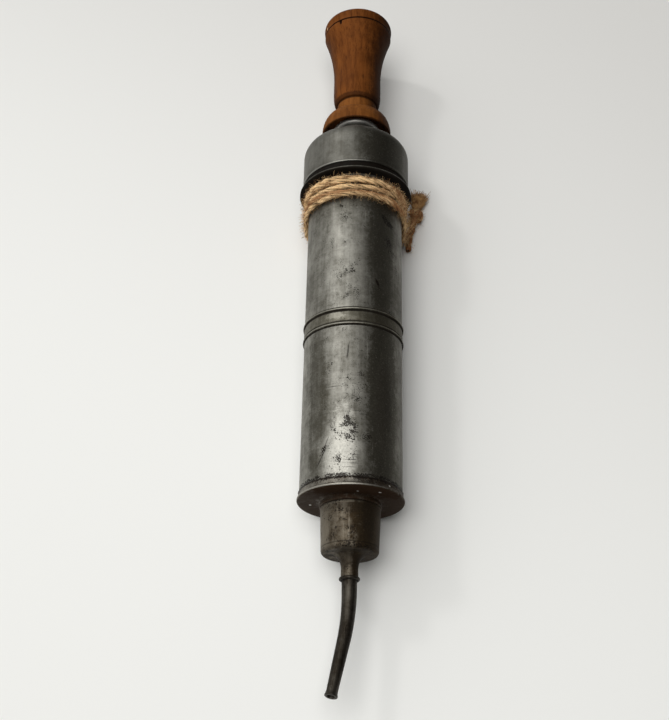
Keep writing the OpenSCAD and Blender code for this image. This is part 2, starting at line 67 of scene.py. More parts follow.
def put(tree, kind, inputs=None, **settings):
    """Adds one node, with its settings, its values and its links."""
    node = tree.nodes.new(kind)
    for name, value in settings.items():
        setattr(node, name, value)
    feed(node, inputs or {})
    return node


def step(kind, inputs, output=0, **settings):
    """One output of a new node, in the tree that its first linked input comes from."""
    tree = next(value.id_data for value in inputs.values() if isinstance(value, bpy.types.NodeSocket))
    return put(tree, kind, inputs, **settings).outputs[output]


def blend(amount, first, second, **settings):
    """A colour between two colours."""
    return step("ShaderNodeMix", {"Factor": amount, "A": first, "B": second}, 2, data_type="RGBA", **settings)


def ramp(value, low, high, to_low=0.0, to_high=1.0):
    """A value that goes smoothly from one level to another over a range."""
    return step("ShaderNodeMapRange", {"Value": value, "From Min": low, "From Max": high, "To Min": to_low,
                                       "To Max": to_high}, interpolation_type="SMOOTHSTEP")


def calc(operation, *values):
    """One step of arithmetic in a node tree."""
    return step("ShaderNodeMath", dict(enumerate(values)), operation=operation)


def object_place(tree):
    """Where a point is in its own object."""
    return put(tree, "ShaderNodeTexCoord").outputs["Object"]


def new_finish(name):
    """A material with an empty node tree, and its shader."""
    finish = bpy.data.materials.new(name)
    finish.use_nodes = True
    tree = finish.node_tree
    tree.nodes.clear()
    shader = put(tree, "ShaderNodeBsdfPrincipled")
    put(tree, "ShaderNodeOutputMaterial", {"Surface": shader.outputs["BSDF"]})
    return finish, tree, shader


def add_object(name, data):
    """A new object in the scene."""
    added = bpy.data.objects.new(name, data)
    bpy.context.scene.collection.objects.link(added)
    return added


# The sheet's colour goes from lit near to shaded far: a painted fall-off of the lamps' light.
sheet_finish, tree, shader = new_finish("white_sheet")
away = step("ShaderNodeVectorMath", {0: object_place(tree), 1: SHEET_SHADE_WAY}, "Value", operation="DOT_PRODUCT")
feed(shader, {"Base Color": blend(ramp(away, *SHEET_SHADE_FADE), SHEET_LIT, SHEET_SHADED), "Roughness": 0.8,
              "Specular IOR Level": 0.15})
sheet_mesh = bpy.data.meshes.new("table_sheet")
sheet_corners = [(x * SHEET_HALF, y * SHEET_HALF, -SHEET_DROP)
                 for x, y in ((-1, -1), (1, -1), (1, 1), (-1, 1))]
sheet_mesh.from_pydata(sheet_corners, [], [(0, 1, 2, 3)])
sheet_mesh.materials.append(sheet_finish)
table_sheet = add_object("table_sheet", sheet_mesh)

for name, (way, size, watts) in LAMPS.items():
    lamp_data = bpy.data.lights.new(name, "AREA")
    lamp_data.shape = "DISK"
    lamp_data.size = size
    lamp_data.energy = watts
    lamp_data.color = LAMP_COLOUR
    lamp = add_object(name, lamp_data)
    lamp.location = Vector(way).normalized() * LAMP_AWAY
    lamp.rotation_euler = Vector(way).to_track_quat("Z", "Y").to_euler()

room = bpy.data.worlds.new("bright_left_room")
bpy.context.scene.world = room
room.use_nodes = True
tree = room.node_tree
tree.nodes.clear()
way = put(tree, "ShaderNodeTexCoord").outputs["Generated"]
apart = put(tree, "ShaderNodeSeparateXYZ", {"Vector": way}).outputs
wall = blend(ramp(apart["X"], -0.32, 0.28), ROOM_LEFT, ROOM_RIGHT)
strength = calc("MULTIPLY", ramp(apart["Y"], -0.45, 0.10, ROOM_NEAR_SHARE, 1.0),
                ramp(apart["Z"], 0.0, 0.55, ROOM_LOW_SHARE, ROOM_HIGH_SHARE))
glow = step("ShaderNodeBackground", {"Color": wall, "Strength": strength})
put(tree, "ShaderNodeOutputWorld", {"Surface": glow})

# Camera
# It looks steeply down along the syringe from above the nozzle end, upright, with a slightly long lens.
CAMERA_AT = (-0.00378, -0.35136, 0.64088)
CAMERA_PITCH = radians(62.040)
CAMERA_TURN = radians(1.206)
PHOTO_WIDTH_PX = 669
FOCUS_PX = 1200
camera_data = bpy.data.cameras.new("photo_camera")
camera_data.sensor_fit = "HORIZONTAL"
camera_data.sensor_width = 36.0
camera_data.lens = FOCUS_PX / PHOTO_WIDTH_PX * camera_data.sensor_width
camera = add_object("photo_camera", camera_data)
camera.location = CAMERA_AT
camera.rotation_euler = (pi / 2 - CAMERA_PITCH, 0, CAMERA_TURN)
bpy.context.scene.camera = camera

# Lower barrel tube
# A cast and turned pewter tube, soldered into the end plate below and butted against the upper tube.
# Its lower end is worn bright and pitted, with a crease where it was once knocked; the dark lines beside the
# crease are painted shade. Its right flank and a strip on its left are painted darker as shade, and its far
# left edge has a painted highlight.
MM = 0.001
LIE_ANGLE = radians(1.363229)
LAY = Matrix.Translation((0, -0.115021, 0.029468)) @ Matrix.Rotation(LIE_ANGLE - pi / 2, 4, "X")
BARREL_R = 28.25
BORE_R = 25.5
LOWER_FOOT = 2.05
JOINT_S = 101.0
BAND_HALF = 6.0
REBATE_R = 27.2
SOLDER_GAP = 0.05
TUBE_STEP = 0.9
LOWER_KNOCKED_BEYOND = 27.6
LOWER_CREASE = [(-33, 21, 1.3, 8, 0.40, -32), (-37, 22, 6, 9, 0.35)]
LOWER_DENTS = [(20, 52, 9, 14, 0.20), (140, 40, 10, 12, 0.25)]


def new_tree(name, kind, inputs, outputs):
    """An empty node group with named sockets, the outputs of its input node, and its output node."""
    tree = bpy.data.node_groups.new(name, kind)
    for way, sockets in (("INPUT", inputs), ("OUTPUT", outputs)):
        for label, socket in sockets.items():
            tree.interface.new_socket(label, in_out=way, socket_type="NodeSocket" + socket)
    return tree, tree.nodes.new("NodeGroupInput").outputs, tree.nodes.new("NodeGroupOutput")


def end_tree(given, result, shape):
    """Ends a geometry tree: its instances become real and take the finish that was given."""
    shape = step("GeometryNodeRealizeInstances", {"Geometry": shape})
    shape = step("GeometryNodeSetMaterial", {"Geometry": shape, "Material": given["Finish"]})
    feed(result, {0: shape})


def vector_calc(operation, *values, scale=None):
    """One step of vector arithmetic in a node tree."""
    inputs = dict(enumerate(values))
    if scale is not None:
        inputs["Scale"] = scale
    return step("ShaderNodeVectorMath", inputs, operation=operation)


# Turned shape: an outline spun round the barrel's axis, with shallow dents on its outside
SAME_POINT = 0.000005
turning, given, result = new_tree("Turned Shape", "GeometryNodeTree", {
    "Outline": "Geometry", "Steps Round": "Int", "Dent Depth": "Float", "Dent Scale": "Float",
    "Dents Beyond": "Float", "Seed": "Float", "Finish": "Material"}, {"Shape": "Geometry"})
count = step("GeometryNodeAttributeDomainSize", {"Geometry": given["Outline"]}, "Point Count")
columns = calc("ADD", given["Steps Round"], 1.0)
grid = step("GeometryNodeMeshGrid", {"Vertices X": columns, "Vertices Y": count}, "Mesh")
index = put(turning, "GeometryNodeInputIndex").outputs["Index"]
column = calc("FLOOR", calc("DIVIDE", calc("ADD", index, 0.5), count))
row = calc("SUBTRACT", index, calc("MULTIPLY", column, count))
spot = put(turning, "GeometryNodeInputPosition").outputs["Position"]
on_outline = step("GeometryNodeSampleIndex", {"Geometry": given["Outline"], "Value": spot, "Index": row},
                  "Value", data_type="FLOAT_VECTOR", domain="POINT")
angle = calc("MULTIPLY", calc("DIVIDE", column, given["Steps Round"]), 2 * pi)
spun = step("ShaderNodeVectorRotate", {"Vector": on_outline, "Angle": angle}, rotation_type="Z_AXIS")
shell = step("GeometryNodeSetPosition", {"Geometry": grid, "Position": spun})
shell = step("GeometryNodeMergeByDistance", {"Geometry": shell, "Distance": SAME_POINT})
outwards = vector_calc("MULTIPLY", spot, (1, 1, 0))
radius = step("ShaderNodeVectorMath", {0: outwards}, "Value", operation="LENGTH")
outside = calc("GREATER_THAN", radius, given["Dents Beyond"])
waves = step("ShaderNodeTexNoise", {"Vector": spot, "W": given["Seed"], "Scale": given["Dent Scale"],
                                    "Detail": 2.0}, "Fac", noise_dimensions="4D")
depth = calc("MULTIPLY", calc("SUBTRACT", waves, 0.5), given["Dent Depth"])
depth = calc("MULTIPLY", depth, outside)
push = vector_calc("SCALE", vector_calc("NORMALIZE", outwards), scale=depth)
end_tree(given, result, step("GeometryNodeSetPosition", {"Geometry": shell, "Offset": push}))


def plain_mesh(source, group, values):
    """The plain mesh that a geometry tree makes of a source mesh."""
    blank = add_object(source.name + "_blank", source)
    modifier = blank.modifiers.new(group.name, "NODES")
    modifier.node_group = group
    for label, value in values.items():
        modifier[group.interface.items_tree[label].identifier] = value
    seen = blank.evaluated_get(bpy.context.evaluated_depsgraph_get())
    mesh = bpy.data.meshes.new_from_object(seen)
    bpy.data.objects.remove(blank)
    return mesh


def line_mesh(name, points):
    """An open line of points as a mesh of edges."""
    mesh = bpy.data.meshes.new(name)
    mesh.from_pydata(points, [(i, i + 1) for i in range(len(points) - 1)], [])
    return mesh


def spaced(points, gap):
    """The same outline with points at most a gap apart."""
    result = [points[0]]
    for a, b in zip(points, points[1:]):
        pieces = max(1, ceil(dist(a, b) / gap))
        result += [tuple(p + (q - p) * i / pieces for p, q in zip(a, b)) for i in range(1, pieces + 1)]
    return result


def show_piece(name, mesh, body, slot, *nodes):
    """Puts a finished mesh in the scene on its body, in place of its CAD nodes."""
    piece = add_object(name, mesh)
    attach(piece, body)
    if nodes:
        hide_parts(*nodes)
    return piece


SHARP_EDGE = radians(38)


def turned_mesh(name, outline, finish, steps=180, dent=0.0, dent_scale=30.0, beyond=0.0, seed=0.0):
    """A closed outline in millimetres, turned on the barrel's axis."""
    closed = outline if dist(outline[0], outline[-1]) < 1e-6 else outline + outline[:1]
    source = line_mesh(name, [(r * MM, 0, s * MM) for r, s in closed])
    mesh = plain_mesh(source, turning, {
        "Steps Round": steps, "Dent Depth": dent * MM, "Dent Scale": dent_scale, "Dents Beyond": beyond * MM,
        "Seed": seed, "Finish": finish})
    shape = bmesh.new()
    shape.from_mesh(mesh)
    bmesh.ops.recalc_face_normals(shape, faces=shape.faces)
    for face in shape.faces:
        face.smooth = True
    for edge in shape.edges:
        edge.smooth = not edge.is_manifold or edge.calc_face_angle() < SHARP_EDGE
    shape.to_mesh(mesh)
    shape.free()
    return mesh


def knock(mesh, groups):
    """Knocks groups of soft dents into a turned mesh, each group beyond a radius and above a height. A dent
    has its angle from the top, height, half width, half length and depth, and a tilt if it lies askew."""
    points = np.empty(len(mesh.vertices) * 3)
    mesh.vertices.foreach_get("co", points)
    points = points.reshape(-1, 3) / MM
    height = points[:, 2]
    radius = np.hypot(points[:, 0], points[:, 1])
    angle = np.degrees(np.arctan2(points[:, 0], -points[:, 1]))
    deep = np.zeros_like(radius)
    for beyond, above, dents in groups:
        reached = (radius > beyond) & (height > above)
        for at_angle, at_height, wide, long, depth, *tilt in dents:
            across, along = np.radians(angle - at_angle) * radius, height - at_height
            turn = radians(sum(tilt))
            u = across * cos(turn) + along * sin(turn)
            v = along * cos(turn) - across * sin(turn)
            deep += reached * depth * np.exp(-(u / wide) ** 2 - (v / long) ** 2)
    radius -= deep
    points[:, 0], points[:, 1] = radius * np.sin(np.radians(angle)), -radius * np.cos(np.radians(angle))
    mesh.vertices.foreach_set("co", (points * MM).ravel())
    mesh.update()


def turned_piece(name, outline, finish, body, slot, node, knocks=(), **turned):
    """Turns a piece, knocks it about, lays it down with the syringe and shows it."""
    mesh = turned_mesh(name, outline, finish, **turned)
    if knocks:
        knock(mesh, knocks)
    mesh.transform(LAY)
    show_piece(name, mesh, body, slot, node)


def noise(place, scale, detail=3.0, roughness=0.5):
    """A noise texture's value at a place."""
    return step("ShaderNodeTexNoise", {"Vector": place, "Scale": scale, "Detail": detail,
                                       "Roughness": roughness}, "Fac")


def long_noise(place, scale, turn=0.0, detail=3.0):
    """Noise drawn out along one way, with a scale for each axis and a turn on the unrolled surface."""
    drawn = step("ShaderNodeMapping", {"Vector": place, "Rotation": (0, 0, turn), "Scale": scale})
    return noise(drawn, 1.0, detail, 0.6)


def weighted(*parts):
    """The sum of several values, each times its share."""
    total = 0.0
    for value, share in parts:
        total = calc("ADD", calc("MULTIPLY", value, share), total)
    return total


def bumps(height, strength, distance):
    """The normal of a bumpy surface."""
    return step("ShaderNodeBump", {"Strength": strength, "Distance": distance, "Height": height})


# Barrel place: where a point is on the syringe's own axis, before it was laid down
barrel_place, given, result = new_tree("Barrel Place", "ShaderNodeTree", {}, {
    "Place": "Vector", "Unrolled": "Vector", "Angle": "Float", "Height": "Float", "Radius": "Float"})
upright = step("ShaderNodeMapping", {
    "Vector": object_place(barrel_place), "Location": LAY.to_translation(), "Rotation": LAY.to_euler()},
    vector_type="TEXTURE")
apart = put(barrel_place, "ShaderNodeSeparateXYZ", {"Vector": upright}).outputs
turn = calc("ARCTAN2", apart["X"], calc("MULTIPLY", apart["Y"], -1.0))
flat = vector_calc("MULTIPLY", upright, (1, 1, 0))
reach = step("ShaderNodeVectorMath", {0: flat}, "Value", operation="LENGTH")
round_barrel = calc("MULTIPLY", turn, BARREL_R * MM)
unrolled = step("ShaderNodeCombineXYZ", {"X": round_barrel, "Y": apart["Z"], "Z": reach})
feed(result, {"Place": upright, "Unrolled": unrolled, "Angle": turn, "Height": apart["Z"], "Radius": reach})

# Worn pewter: cloudy tarnish, grain, lathe lines, clusters of ragged pits and fine scratches
PIT_BLACK = (0.014, 0.011, 0.009, 1)
worn_pewter, given, result = new_tree("Worn Pewter", "ShaderNodeTree", {
    "Place": "Vector", "Unrolled": "Vector", "Bright Metal": "Color", "Tarnish": "Color",
    "Tarnish Cover": "Float", "Mottle": "Float", "Pits": "Float", "Scratches": "Float", "Rub and Painted Light": "Float"},
    {"Color": "Color", "Roughness": "Float", "Normal": "Vector"})
place, unrolled = given["Place"], given["Unrolled"]
clouds = noise(place, 48.0, 4.0, 0.55)
blots = noise(place, 300.0, 5.0, 0.72)
specks = noise(place, 1250.0, 2.0, 0.6)
drawn = long_noise(unrolled, (520, 30, 60))
lathe = long_noise(unrolled, (16, 2300, 60))
mixed = weighted((clouds, 0.32), (blots, 0.32), (specks, 0.16), (drawn, 0.14), (lathe, 0.06))
mixed = calc("MULTIPLY", calc("SUBTRACT", mixed, 0.5), given["Mottle"])
dulled = calc("SUBTRACT", calc("ADD", mixed, given["Tarnish Cover"]), given["Rub and Painted Light"])
dull = ramp(dulled, -0.18, 0.22)
pitting = weighted((noise(place, 1500.0, 4.0, 0.66), 1.0), (noise(place, 190.0), 0.5))
pit = ramp(calc("ADD", pitting, given["Pits"]), 0.93, 0.98)
glint = ramp(specks, 0.62, 0.72)
scored = calc("MAXIMUM", long_noise(unrolled, (1300, 34, 60), 0.42),
              long_noise(unrolled, (1300, 40, 60), -1.1))
scratch = calc("MULTIPLY", ramp(scored, 0.69, 0.74), given["Scratches"])
metal = blend(dull, given["Bright Metal"], given["Tarnish"])
metal = blend(weighted((glint, 0.22), (scratch, 0.55)), metal, given["Bright Metal"])
grain = ramp(weighted((specks, 0.6), (blots, 0.4)), 0.30, 0.70, 0.80, 1.20)
metal = blend(1.0, metal, grain, blend_type="MULTIPLY")
metal = blend(calc("MULTIPLY", pit, 0.9), metal, PIT_BLACK)
rough = ramp(weighted((dull, 1.0), (pit, 0.6)), 0.0, 1.6, 0.48, 0.62)
relief = weighted((specks, 0.30), (blots, 0.35), (lathe, 0.15), (pit, -1.0), (scratch, -0.4))
feed(result, {"Color": metal, "Roughness": rough, "Normal": bumps(relief, 0.40, 0.0002)})

# Placed mark: a ragged patch at one place on the barrel's surface
placed_mark, given, result = new_tree("Placed Mark", "ShaderNodeTree", {
    "Place": "Vector", "Angle": "Float", "Height": "Float", "Mark Angle": "Float", "Mark Height": "Float",
    "Half Width": "Float", "Half Length": "Float", "Slant": "Float", "Ragged": "Float"}, {"Mask": "Float"})
along = calc("SUBTRACT", given["Height"], given["Mark Height"])
middle = calc("ADD", given["Mark Angle"], calc("MULTIPLY", along, given["Slant"]))
across = calc("DIVIDE", calc("SUBTRACT", given["Angle"], middle), given["Half Width"])
along = calc("DIVIDE", along, given["Half Length"])
far = calc("SQRT", weighted((calc("POWER", across, 2.0), 1.0), (calc("POWER", along, 2.0), 1.0)))
torn = weighted((noise(given["Place"], 260.0, 4.0, 0.6), 1.0), (noise(given["Place"], 1100.0, 2.0), 0.6))
far = calc("ADD", far, calc("MULTIPLY", calc("SUBTRACT", torn, 0.8), given["Ragged"]))
feed(result, {"Mask": ramp(far, 1.15, 0.55)})


def mark_mask(where, angle, height, half_width, half_length, ragged, slant=0.0):
    """Where one placed mark covers: degrees round, millimetres along, slant in degrees per millimetre."""
    return step("ShaderNodeGroup", {
        "Place": where["Place"], "Angle": where["Angle"], "Height": where["Height"],
        "Mark Angle": radians(angle), "Mark Height": height * MM, "Half Width": radians(half_width),
        "Half Length": half_length * MM, "Slant": radians(slant) / MM, "Ragged": ragged},
        "Mask", node_tree=placed_mark)


ALL_ROUND = 400


def ring(strength, height, half_length, ragged):
    """A mark that goes all the way round."""
    return strength, 0, height, ALL_ROUND, half_length, ragged


# The dark colours below paint dirt and also painted shade; the light one paints bare metal and also painted
# highlights.
GRIME_AND_SHADE, FACE_GRIME_AND_SHADE, BARE_AND_HIGHLIGHT = (0.007, 0.005, 0.0035, 1), (0.026, 0.013, 0.006, 1), (0.55, 0.54, 0.51, 1)
FACE_FADE = 0.5 * MM, 0.1 * MM
PEWTER_IOR = 1.15


def pewter_finish(name, bright, tarnish, cover, pits, scratches, mottle=1.0, rougher=0.0,
                  rubs_and_painted_light=(), pitted=(), dark=(), light=(), shade=(), nicks=()):
    """Worn pewter with its own rubbed and pitted patches, dark stains and light places; some of the rubbed,
    dark and light marks are painted shade and painted highlights. Shade (painted shade and dirt) and nicks
    are on the flat face at height zero, with a radius instead of a height."""
    finish, tree, shader = new_finish(name)
    where = put(tree, "ShaderNodeGroup", node_tree=barrel_place).outputs
    flat = {"Place": where["Place"], "Angle": where["Angle"], "Height": where["Radius"]}
    pewter = put(tree, "ShaderNodeGroup", {
        "Place": where["Place"], "Unrolled": where["Unrolled"], "Bright Metal": (*bright, 1),
        "Tarnish": (*tarnish, 1), "Tarnish Cover": cover, "Mottle": mottle, "Pits": pits,
        "Scratches": scratches}, node_tree=worn_pewter)
    # Rubbed marks brighten or dull the metal; some of them are painted highlights and painted shade.
    for label, marks, start in (("Rub and Painted Light", rubs_and_painted_light, 0.0), ("Pits", pitted, pits)):
        if marks:
            patches = weighted(*((mark_mask(where, *mark), strength) for strength, *mark in marks))
            feed(pewter, {label: calc("ADD", patches, start)})
    on_face = ramp(where["Height"], *FACE_FADE)
    colour, dirt_and_shade = pewter.outputs["Color"], 0.0
    for marks, paint, spot in ((dark, GRIME_AND_SHADE, where), (shade, FACE_GRIME_AND_SHADE, flat), (light, BARE_AND_HIGHLIGHT, where),
                               (nicks, BARE_AND_HIGHLIGHT, flat)):
        for strength, *mark in marks:
            cover = calc("MULTIPLY", mark_mask(spot, *mark), strength)
            cover = calc("MULTIPLY", cover, on_face) if spot is flat else cover
            colour = blend(cover, colour, paint)
            dirt_and_shade = calc("MAXIMUM", dirt_and_shade, cover) if paint != BARE_AND_HIGHLIGHT else dirt_and_shade
    rough = calc("ADD", pewter.outputs["Roughness"], rougher)
    feed(shader, {"Base Color": colour, "Roughness": calc("MAXIMUM", rough, dirt_and_shade), "IOR": PEWTER_IOR,
                  "Metallic": calc("SUBTRACT", 1.0, dirt_and_shade) if dark or shade else 1.0,
                  "Normal": pewter.outputs["Normal"]})
    return finish


PEWTER_BRIGHT = (0.40, 0.391, 0.354)
PEWTER_TARNISH = (0.072, 0.067, 0.053)
lower_finish = pewter_finish(
    "lower_tube_pewter", PEWTER_BRIGHT, PEWTER_TARNISH, 0.06, 0.03, 0.7,
    rubs_and_painted_light=[(0.10, -13, 19, 28, 20, 0.9), (0.11, -13, 18, 20, 15, 1.1), (0.09, -12, 17, 13, 11, 1.2),
            # Painted shade: the dulling at 98 and 36 degrees on the right flank and at -44 on the left;
            # painted highlight: the rub at -72 on the far left edge.
            (0.10, -9, 33, 13, 15, 1.2), (0.02, -8, 70, 18, 34, 1.0), (-0.08, 98, 50, 85, 160, 0.4),
            (-0.20, 36, 54, 21, 60, 0.8), (-0.09, -44, 50, 15, 60, 0.8), (0.06, -72, 84, 14, 34, 0.6),
            (0.05, -10, 41, 16, 8, 1.2), (-0.05, -32, 61, 9, 12, 1.0), (-0.06, 4, 12, 8, 9, 1.0)],
    pitted=[(0.09, -8, 33, 15, 10, 1.2), (0.12, -5.7, 37, 5.0, 3.4, 2.4), (0.11, -0.2, 34, 4.4, 3.0, 2.4),
            (0.10, -0.5, 28, 6.0, 3.6, 2.4), (0.09, -13.6, 14.4, 3.4, 2.8, 2.6), (0.07, -12, 14, 16, 8, 1.4),
            (0.10, -20, 30, 5.0, 5.0, 2.4), (0.11, 16, 27, 8, 6, 1.8), (0.15, -34, 21, 3.5, 6, 1.6, 1.0),
            ring(0.22, 6.3, 1.1, 2.4), (0.10, 4, 60, 14, 12, 1.6)],
    dark=[(0.6, 37, 50, 13, 32, 0.8), (0.6, -6, 79, 1.1, 5.5, 1.2, 0.2), (0.5, -22, 57.8, 9, 0.35, 0.8, 0.3),
          # These two dark lines beside the crease are painted shade.
          (0.7, -31, 24, 0.9, 5, 1.6, 1.0), (0.75, -36, 17, 1.0, 5, 1.4, 1.0),
          (0.5, -1, 14.6, 8, 0.3, 1.6, 0.2), (0.5, 1, 12.6, 9, 0.28, 1.6), (0.45, -3, 10.4, 8, 0.3, 1.6, 0.3),
          (0.4, 4, 17.5, 7, 0.25, 1.4), (0.45, 12, 41, 6, 0.8, 1.8), (0.4, 5, 43, 5, 0.5, 1.8)])
lower_outline = [(BORE_R, LOWER_FOOT)]
lower_outline += spaced([(BARREL_R, LOWER_FOOT), (BARREL_R, JOINT_S - BAND_HALF)], TUBE_STEP)
lower_outline += [(REBATE_R, JOINT_S - BAND_HALF), (REBATE_R, JOINT_S - SOLDER_GAP),
                  (BORE_R, JOINT_S - SOLDER_GAP)]
turned_piece("lower_tube", lower_outline, lower_finish, "barrel", "pewter", "lower_barrel",
             [(LOWER_KNOCKED_BEYOND, -inf, LOWER_CREASE + LOWER_DENTS)],
             steps=220, dent=0.20, dent_scale=26.0, beyond=27.5, seed=3.0)

# Upper barrel tube
# The second pewter tube, soldered into the mouth collar above. It is duller, with two black stains.
# Its right flank is painted darker as shade, and a strip left of its top carries a painted highlight.
UPPER_TOP = 206.0
upper_finish = pewter_finish(
    "upper_tube_pewter", PEWTER_BRIGHT, PEWTER_TARNISH, 0.06, 0.035, 0.7,
    # Painted shade: the dulling at 98 and 34 degrees on the right flank; painted highlight: the rub at -25
    # degrees.
    rubs_and_painted_light=[(0.02, -8, 130, 18, 40, 1.0), (-0.05, 98, 150, 85, 160, 0.4), (-0.12, 34, 150, 20, 60, 0.8),
            (-0.08, -10, 186, 80, 18, 0.8), (0.05, -25, 140, 12, 44, 1.0)],
    pitted=[(0.09, -16, 131, 9, 8, 2.2), (0.08, 2, 133, 7, 6, 2.2), (0.11, -2, 118, 10, 6, 1.8),
            (0.20, 42, 168, 8, 4.0, 1.8, -2.0), (0.14, 48, 150, 6, 10, 1.6, -1.0),
            (0.08, -8, 172, 16, 10, 1.6)],
    dark=[(1.0, 27.8, 124, 2.3, 3.8, 1.3, -0.8), (0.5, 24.5, 129, 1.0, 3.0, 1.6, -0.6)])
upper_outline = [(BORE_R, JOINT_S + SOLDER_GAP), (REBATE_R, JOINT_S + SOLDER_GAP),
                 (REBATE_R, JOINT_S + BAND_HALF)]
upper_outline += spaced([(BARREL_R, JOINT_S + BAND_HALF), (BARREL_R, UPPER_TOP)], TUBE_STEP)
upper_outline += [(BORE_R, UPPER_TOP)]
turned_piece("upper_tube", upper_outline, upper_finish, "barrel", "pewter", "upper_barrel",
             steps=220, dent=0.18, dent_scale=24.0, beyond=27.5, seed=8.0)

# Middle band
# A pewter band with two fine turned ridges, soldered over the butt joint of the two tubes.
# The corners on both sides of each ridge are painted dark as shade, darker below, each crest carries a
# painted highlight, and its right flank is painted darker as shade.
BAND_R = 28.55
RIDGE_R = 0.6
RIDGE_APART = 9.2
ridges = [JOINT_S - RIDGE_APART / 2, JOINT_S + RIDGE_APART / 2]


def rounding(r, s, radius, start, end, steps):
    """Points on a round edge, its centre at a radius and a height, angles in degrees."""
    angles = [radians(start + (end - start) * i / steps) for i in range(steps + 1)]
    return [(r + radius * cos(a), s + radius * sin(a)) for a in angles]


band_finish = pewter_finish(
    "band_pewter", (0.350, 0.338, 0.290), (0.072, 0.065, 0.047), 0.12, 0.02, 0.5,
    rubs_and_painted_light=[(0.10, -22, 102, 12, 2.6, 2.0), (0.04, -2, 100, 12, 1.8, 2.2)]
    # The light lines on the ridge crests are painted highlights, and the dulling at 98 degrees is painted
    # shade.
    + [ring(0.14, s + 0.25, 0.55, 0.3) for s in ridges] + [(-0.10, 98, JOINT_S, 85, 160, 0.4)],
    # The dark lines beside each ridge are painted shade.
    dark=[ring(0.95, s - 1.15, 0.85, 0.7) for s in ridges] + [ring(0.75, s + 1.2, 0.6, 0.9) for s in ridges])
band_low, band_high = JOINT_S - BAND_HALF + SOLDER_GAP, JOINT_S + BAND_HALF - SOLDER_GAP
band_outline = [(REBATE_R + SOLDER_GAP, band_low), (BAND_R - 0.25, band_low),
                (BAND_R - 0.1, JOINT_S - BAND_HALF + 0.4)]
for ridge_s in ridges:
    band_outline += [(BAND_R - 0.12, ridge_s - RIDGE_R - 0.12)]
    band_outline += rounding(BAND_R - 0.05, ridge_s, RIDGE_R, -85, 85, 10)
    band_outline += [(BAND_R - 0.12, ridge_s + RIDGE_R + 0.12)]
    band_outline += [(BAND_R, ridge_s + 1.2), (BAND_R, JOINT_S)] if ridge_s < JOINT_S else []
band_outline += [(BAND_R - 0.25, band_high), (REBATE_R + SOLDER_GAP, band_high)]
turned_piece("ridged_band", band_outline, band_finish, "barrel", "pewter", "middle_band",
             steps=260, dent=0.10, dent_scale=60.0, beyond=28.0, seed=5.0)

# End plate
# A turned pewter plate with a round rim, soldered on with a rough fillet that was never cleaned up.
# Its nozzle side has a ring and the threaded boss that the nozzle cup screws on. That face is painted dark
# brown, and black at the top below the rim as painted shade; a painted highlight runs along the rim on the
# left and front, and the right flank is painted darker as shade.
PLATE_T = 2.0
FLANGE_R = 29.5
PLATE_RING_R = 17.0
PLATE_RING_S = -3.0
BOSS_R = 12.6
BOSS_S = -20.0
OUTLET_R = 5.0
BOSS_PITCH, BOSS_THREAD = 2.5, 0.5
SOLDER_LUMPS = 320
SOLDER_BEYOND, SOLDER_ABOVE = 28.28, 3.6
RIM_NOTCH, RIM_BEYOND = (61.6, 1.0, 0.9, 0.9, 0.7), 28.6


def thread(radius, depth, pitch, start, end):
    """The zigzag outline of a screw thread."""
    zigzag = []
    while start < end - pitch:
        zigzag += [(radius - depth, start), (radius, start + pitch / 2)]
        start += pitch
    return zigzag


plate_finish = pewter_finish(
    "plate_pewter", (0.30, 0.285, 0.25), (0.045, 0.033, 0.022), 0.14, 0.02, 0.5, mottle=1.4,
    # The bright line on the rim at -20 degrees is a painted highlight, and the dulling at 98 degrees is
    # painted shade.
    rubs_and_painted_light=[(0.08, -30, 3.2, 60, 1.8, 1.2), (0.34, -20, 0.9, 80, 0.5, 0.8), (-0.1, 98, 3, 80, 40, 0.4)],
    pitted=[ring(0.20, 5.2, 1.2, 2.2), ring(0.12, 3.8, 1.8, 1.8)],
    dark=[ring(0.35, 5.3, 0.6, 2.8)],
    light=[(0.9, 45.1, 3.0, 1.6, 0.5, 0.8)],
    # The black at the top of the face below the rim is painted shade.
    shade=[ring(0.7, 24, 9, 1.8), (0.98, 8, 25, 84, 10, 0.6)],
    nicks=[(0.95, -98, 22.3, 2.4, 0.8, 1.0), (0.8, 9.7, 20.4, 1.7, 0.5, 1.0),
           (0.95, 39.6, 24.1, 2.2, 0.6, 1.0)])
plate_outline = [(OUTLET_R, BOSS_S), (BOSS_R, BOSS_S)]
plate_outline += thread(BOSS_R, BOSS_THREAD, BOSS_PITCH, BOSS_S + 1.0, PLATE_RING_S)
plate_outline += [(BOSS_R - BOSS_THREAD, PLATE_RING_S - 0.5), (BOSS_R - BOSS_THREAD, PLATE_RING_S)]
plate_outline += rounding(PLATE_RING_R - 0.6, PLATE_RING_S + 0.6, 0.6, -90, 0, 5)
plate_outline += [(PLATE_RING_R - 0.3, -0.4)] + spaced([(PLATE_RING_R + 0.3, 0), (FLANGE_R - 1, 0)], 0.5)
plate_outline += rounding(FLANGE_R - 1, 1, 1, -90, 60, 10)[1:]
plate_outline += spaced([(28.9, 2.1), (28.72, 2.9), (28.62, 4.2), (28.60, 5.0), (28.32, 5.5)], 0.3)
plate_outline += [(BARREL_R + 0.02, 5.55), (BARREL_R + 0.02, PLATE_T), (OUTLET_R, PLATE_T)]
lumps = random.Random(7)
solder_lumps = []
for _ in range(SOLDER_LUMPS):
    size = lumps.uniform(0.3, 0.9)
    solder_lumps.append((lumps.uniform(-180, 180), lumps.gauss(5.0, 0.5), size, size * 0.6,
                         lumps.uniform(-0.34, 0.24)))
turned_piece("nozzle_end_plate", plate_outline, plate_finish, "barrel", "dark_pewter", "end_plate",
             [(SOLDER_BEYOND, SOLDER_ABOVE, solder_lumps), (RIM_BEYOND, -inf, [RIM_NOTCH])],
             steps=300, seed=2.0)

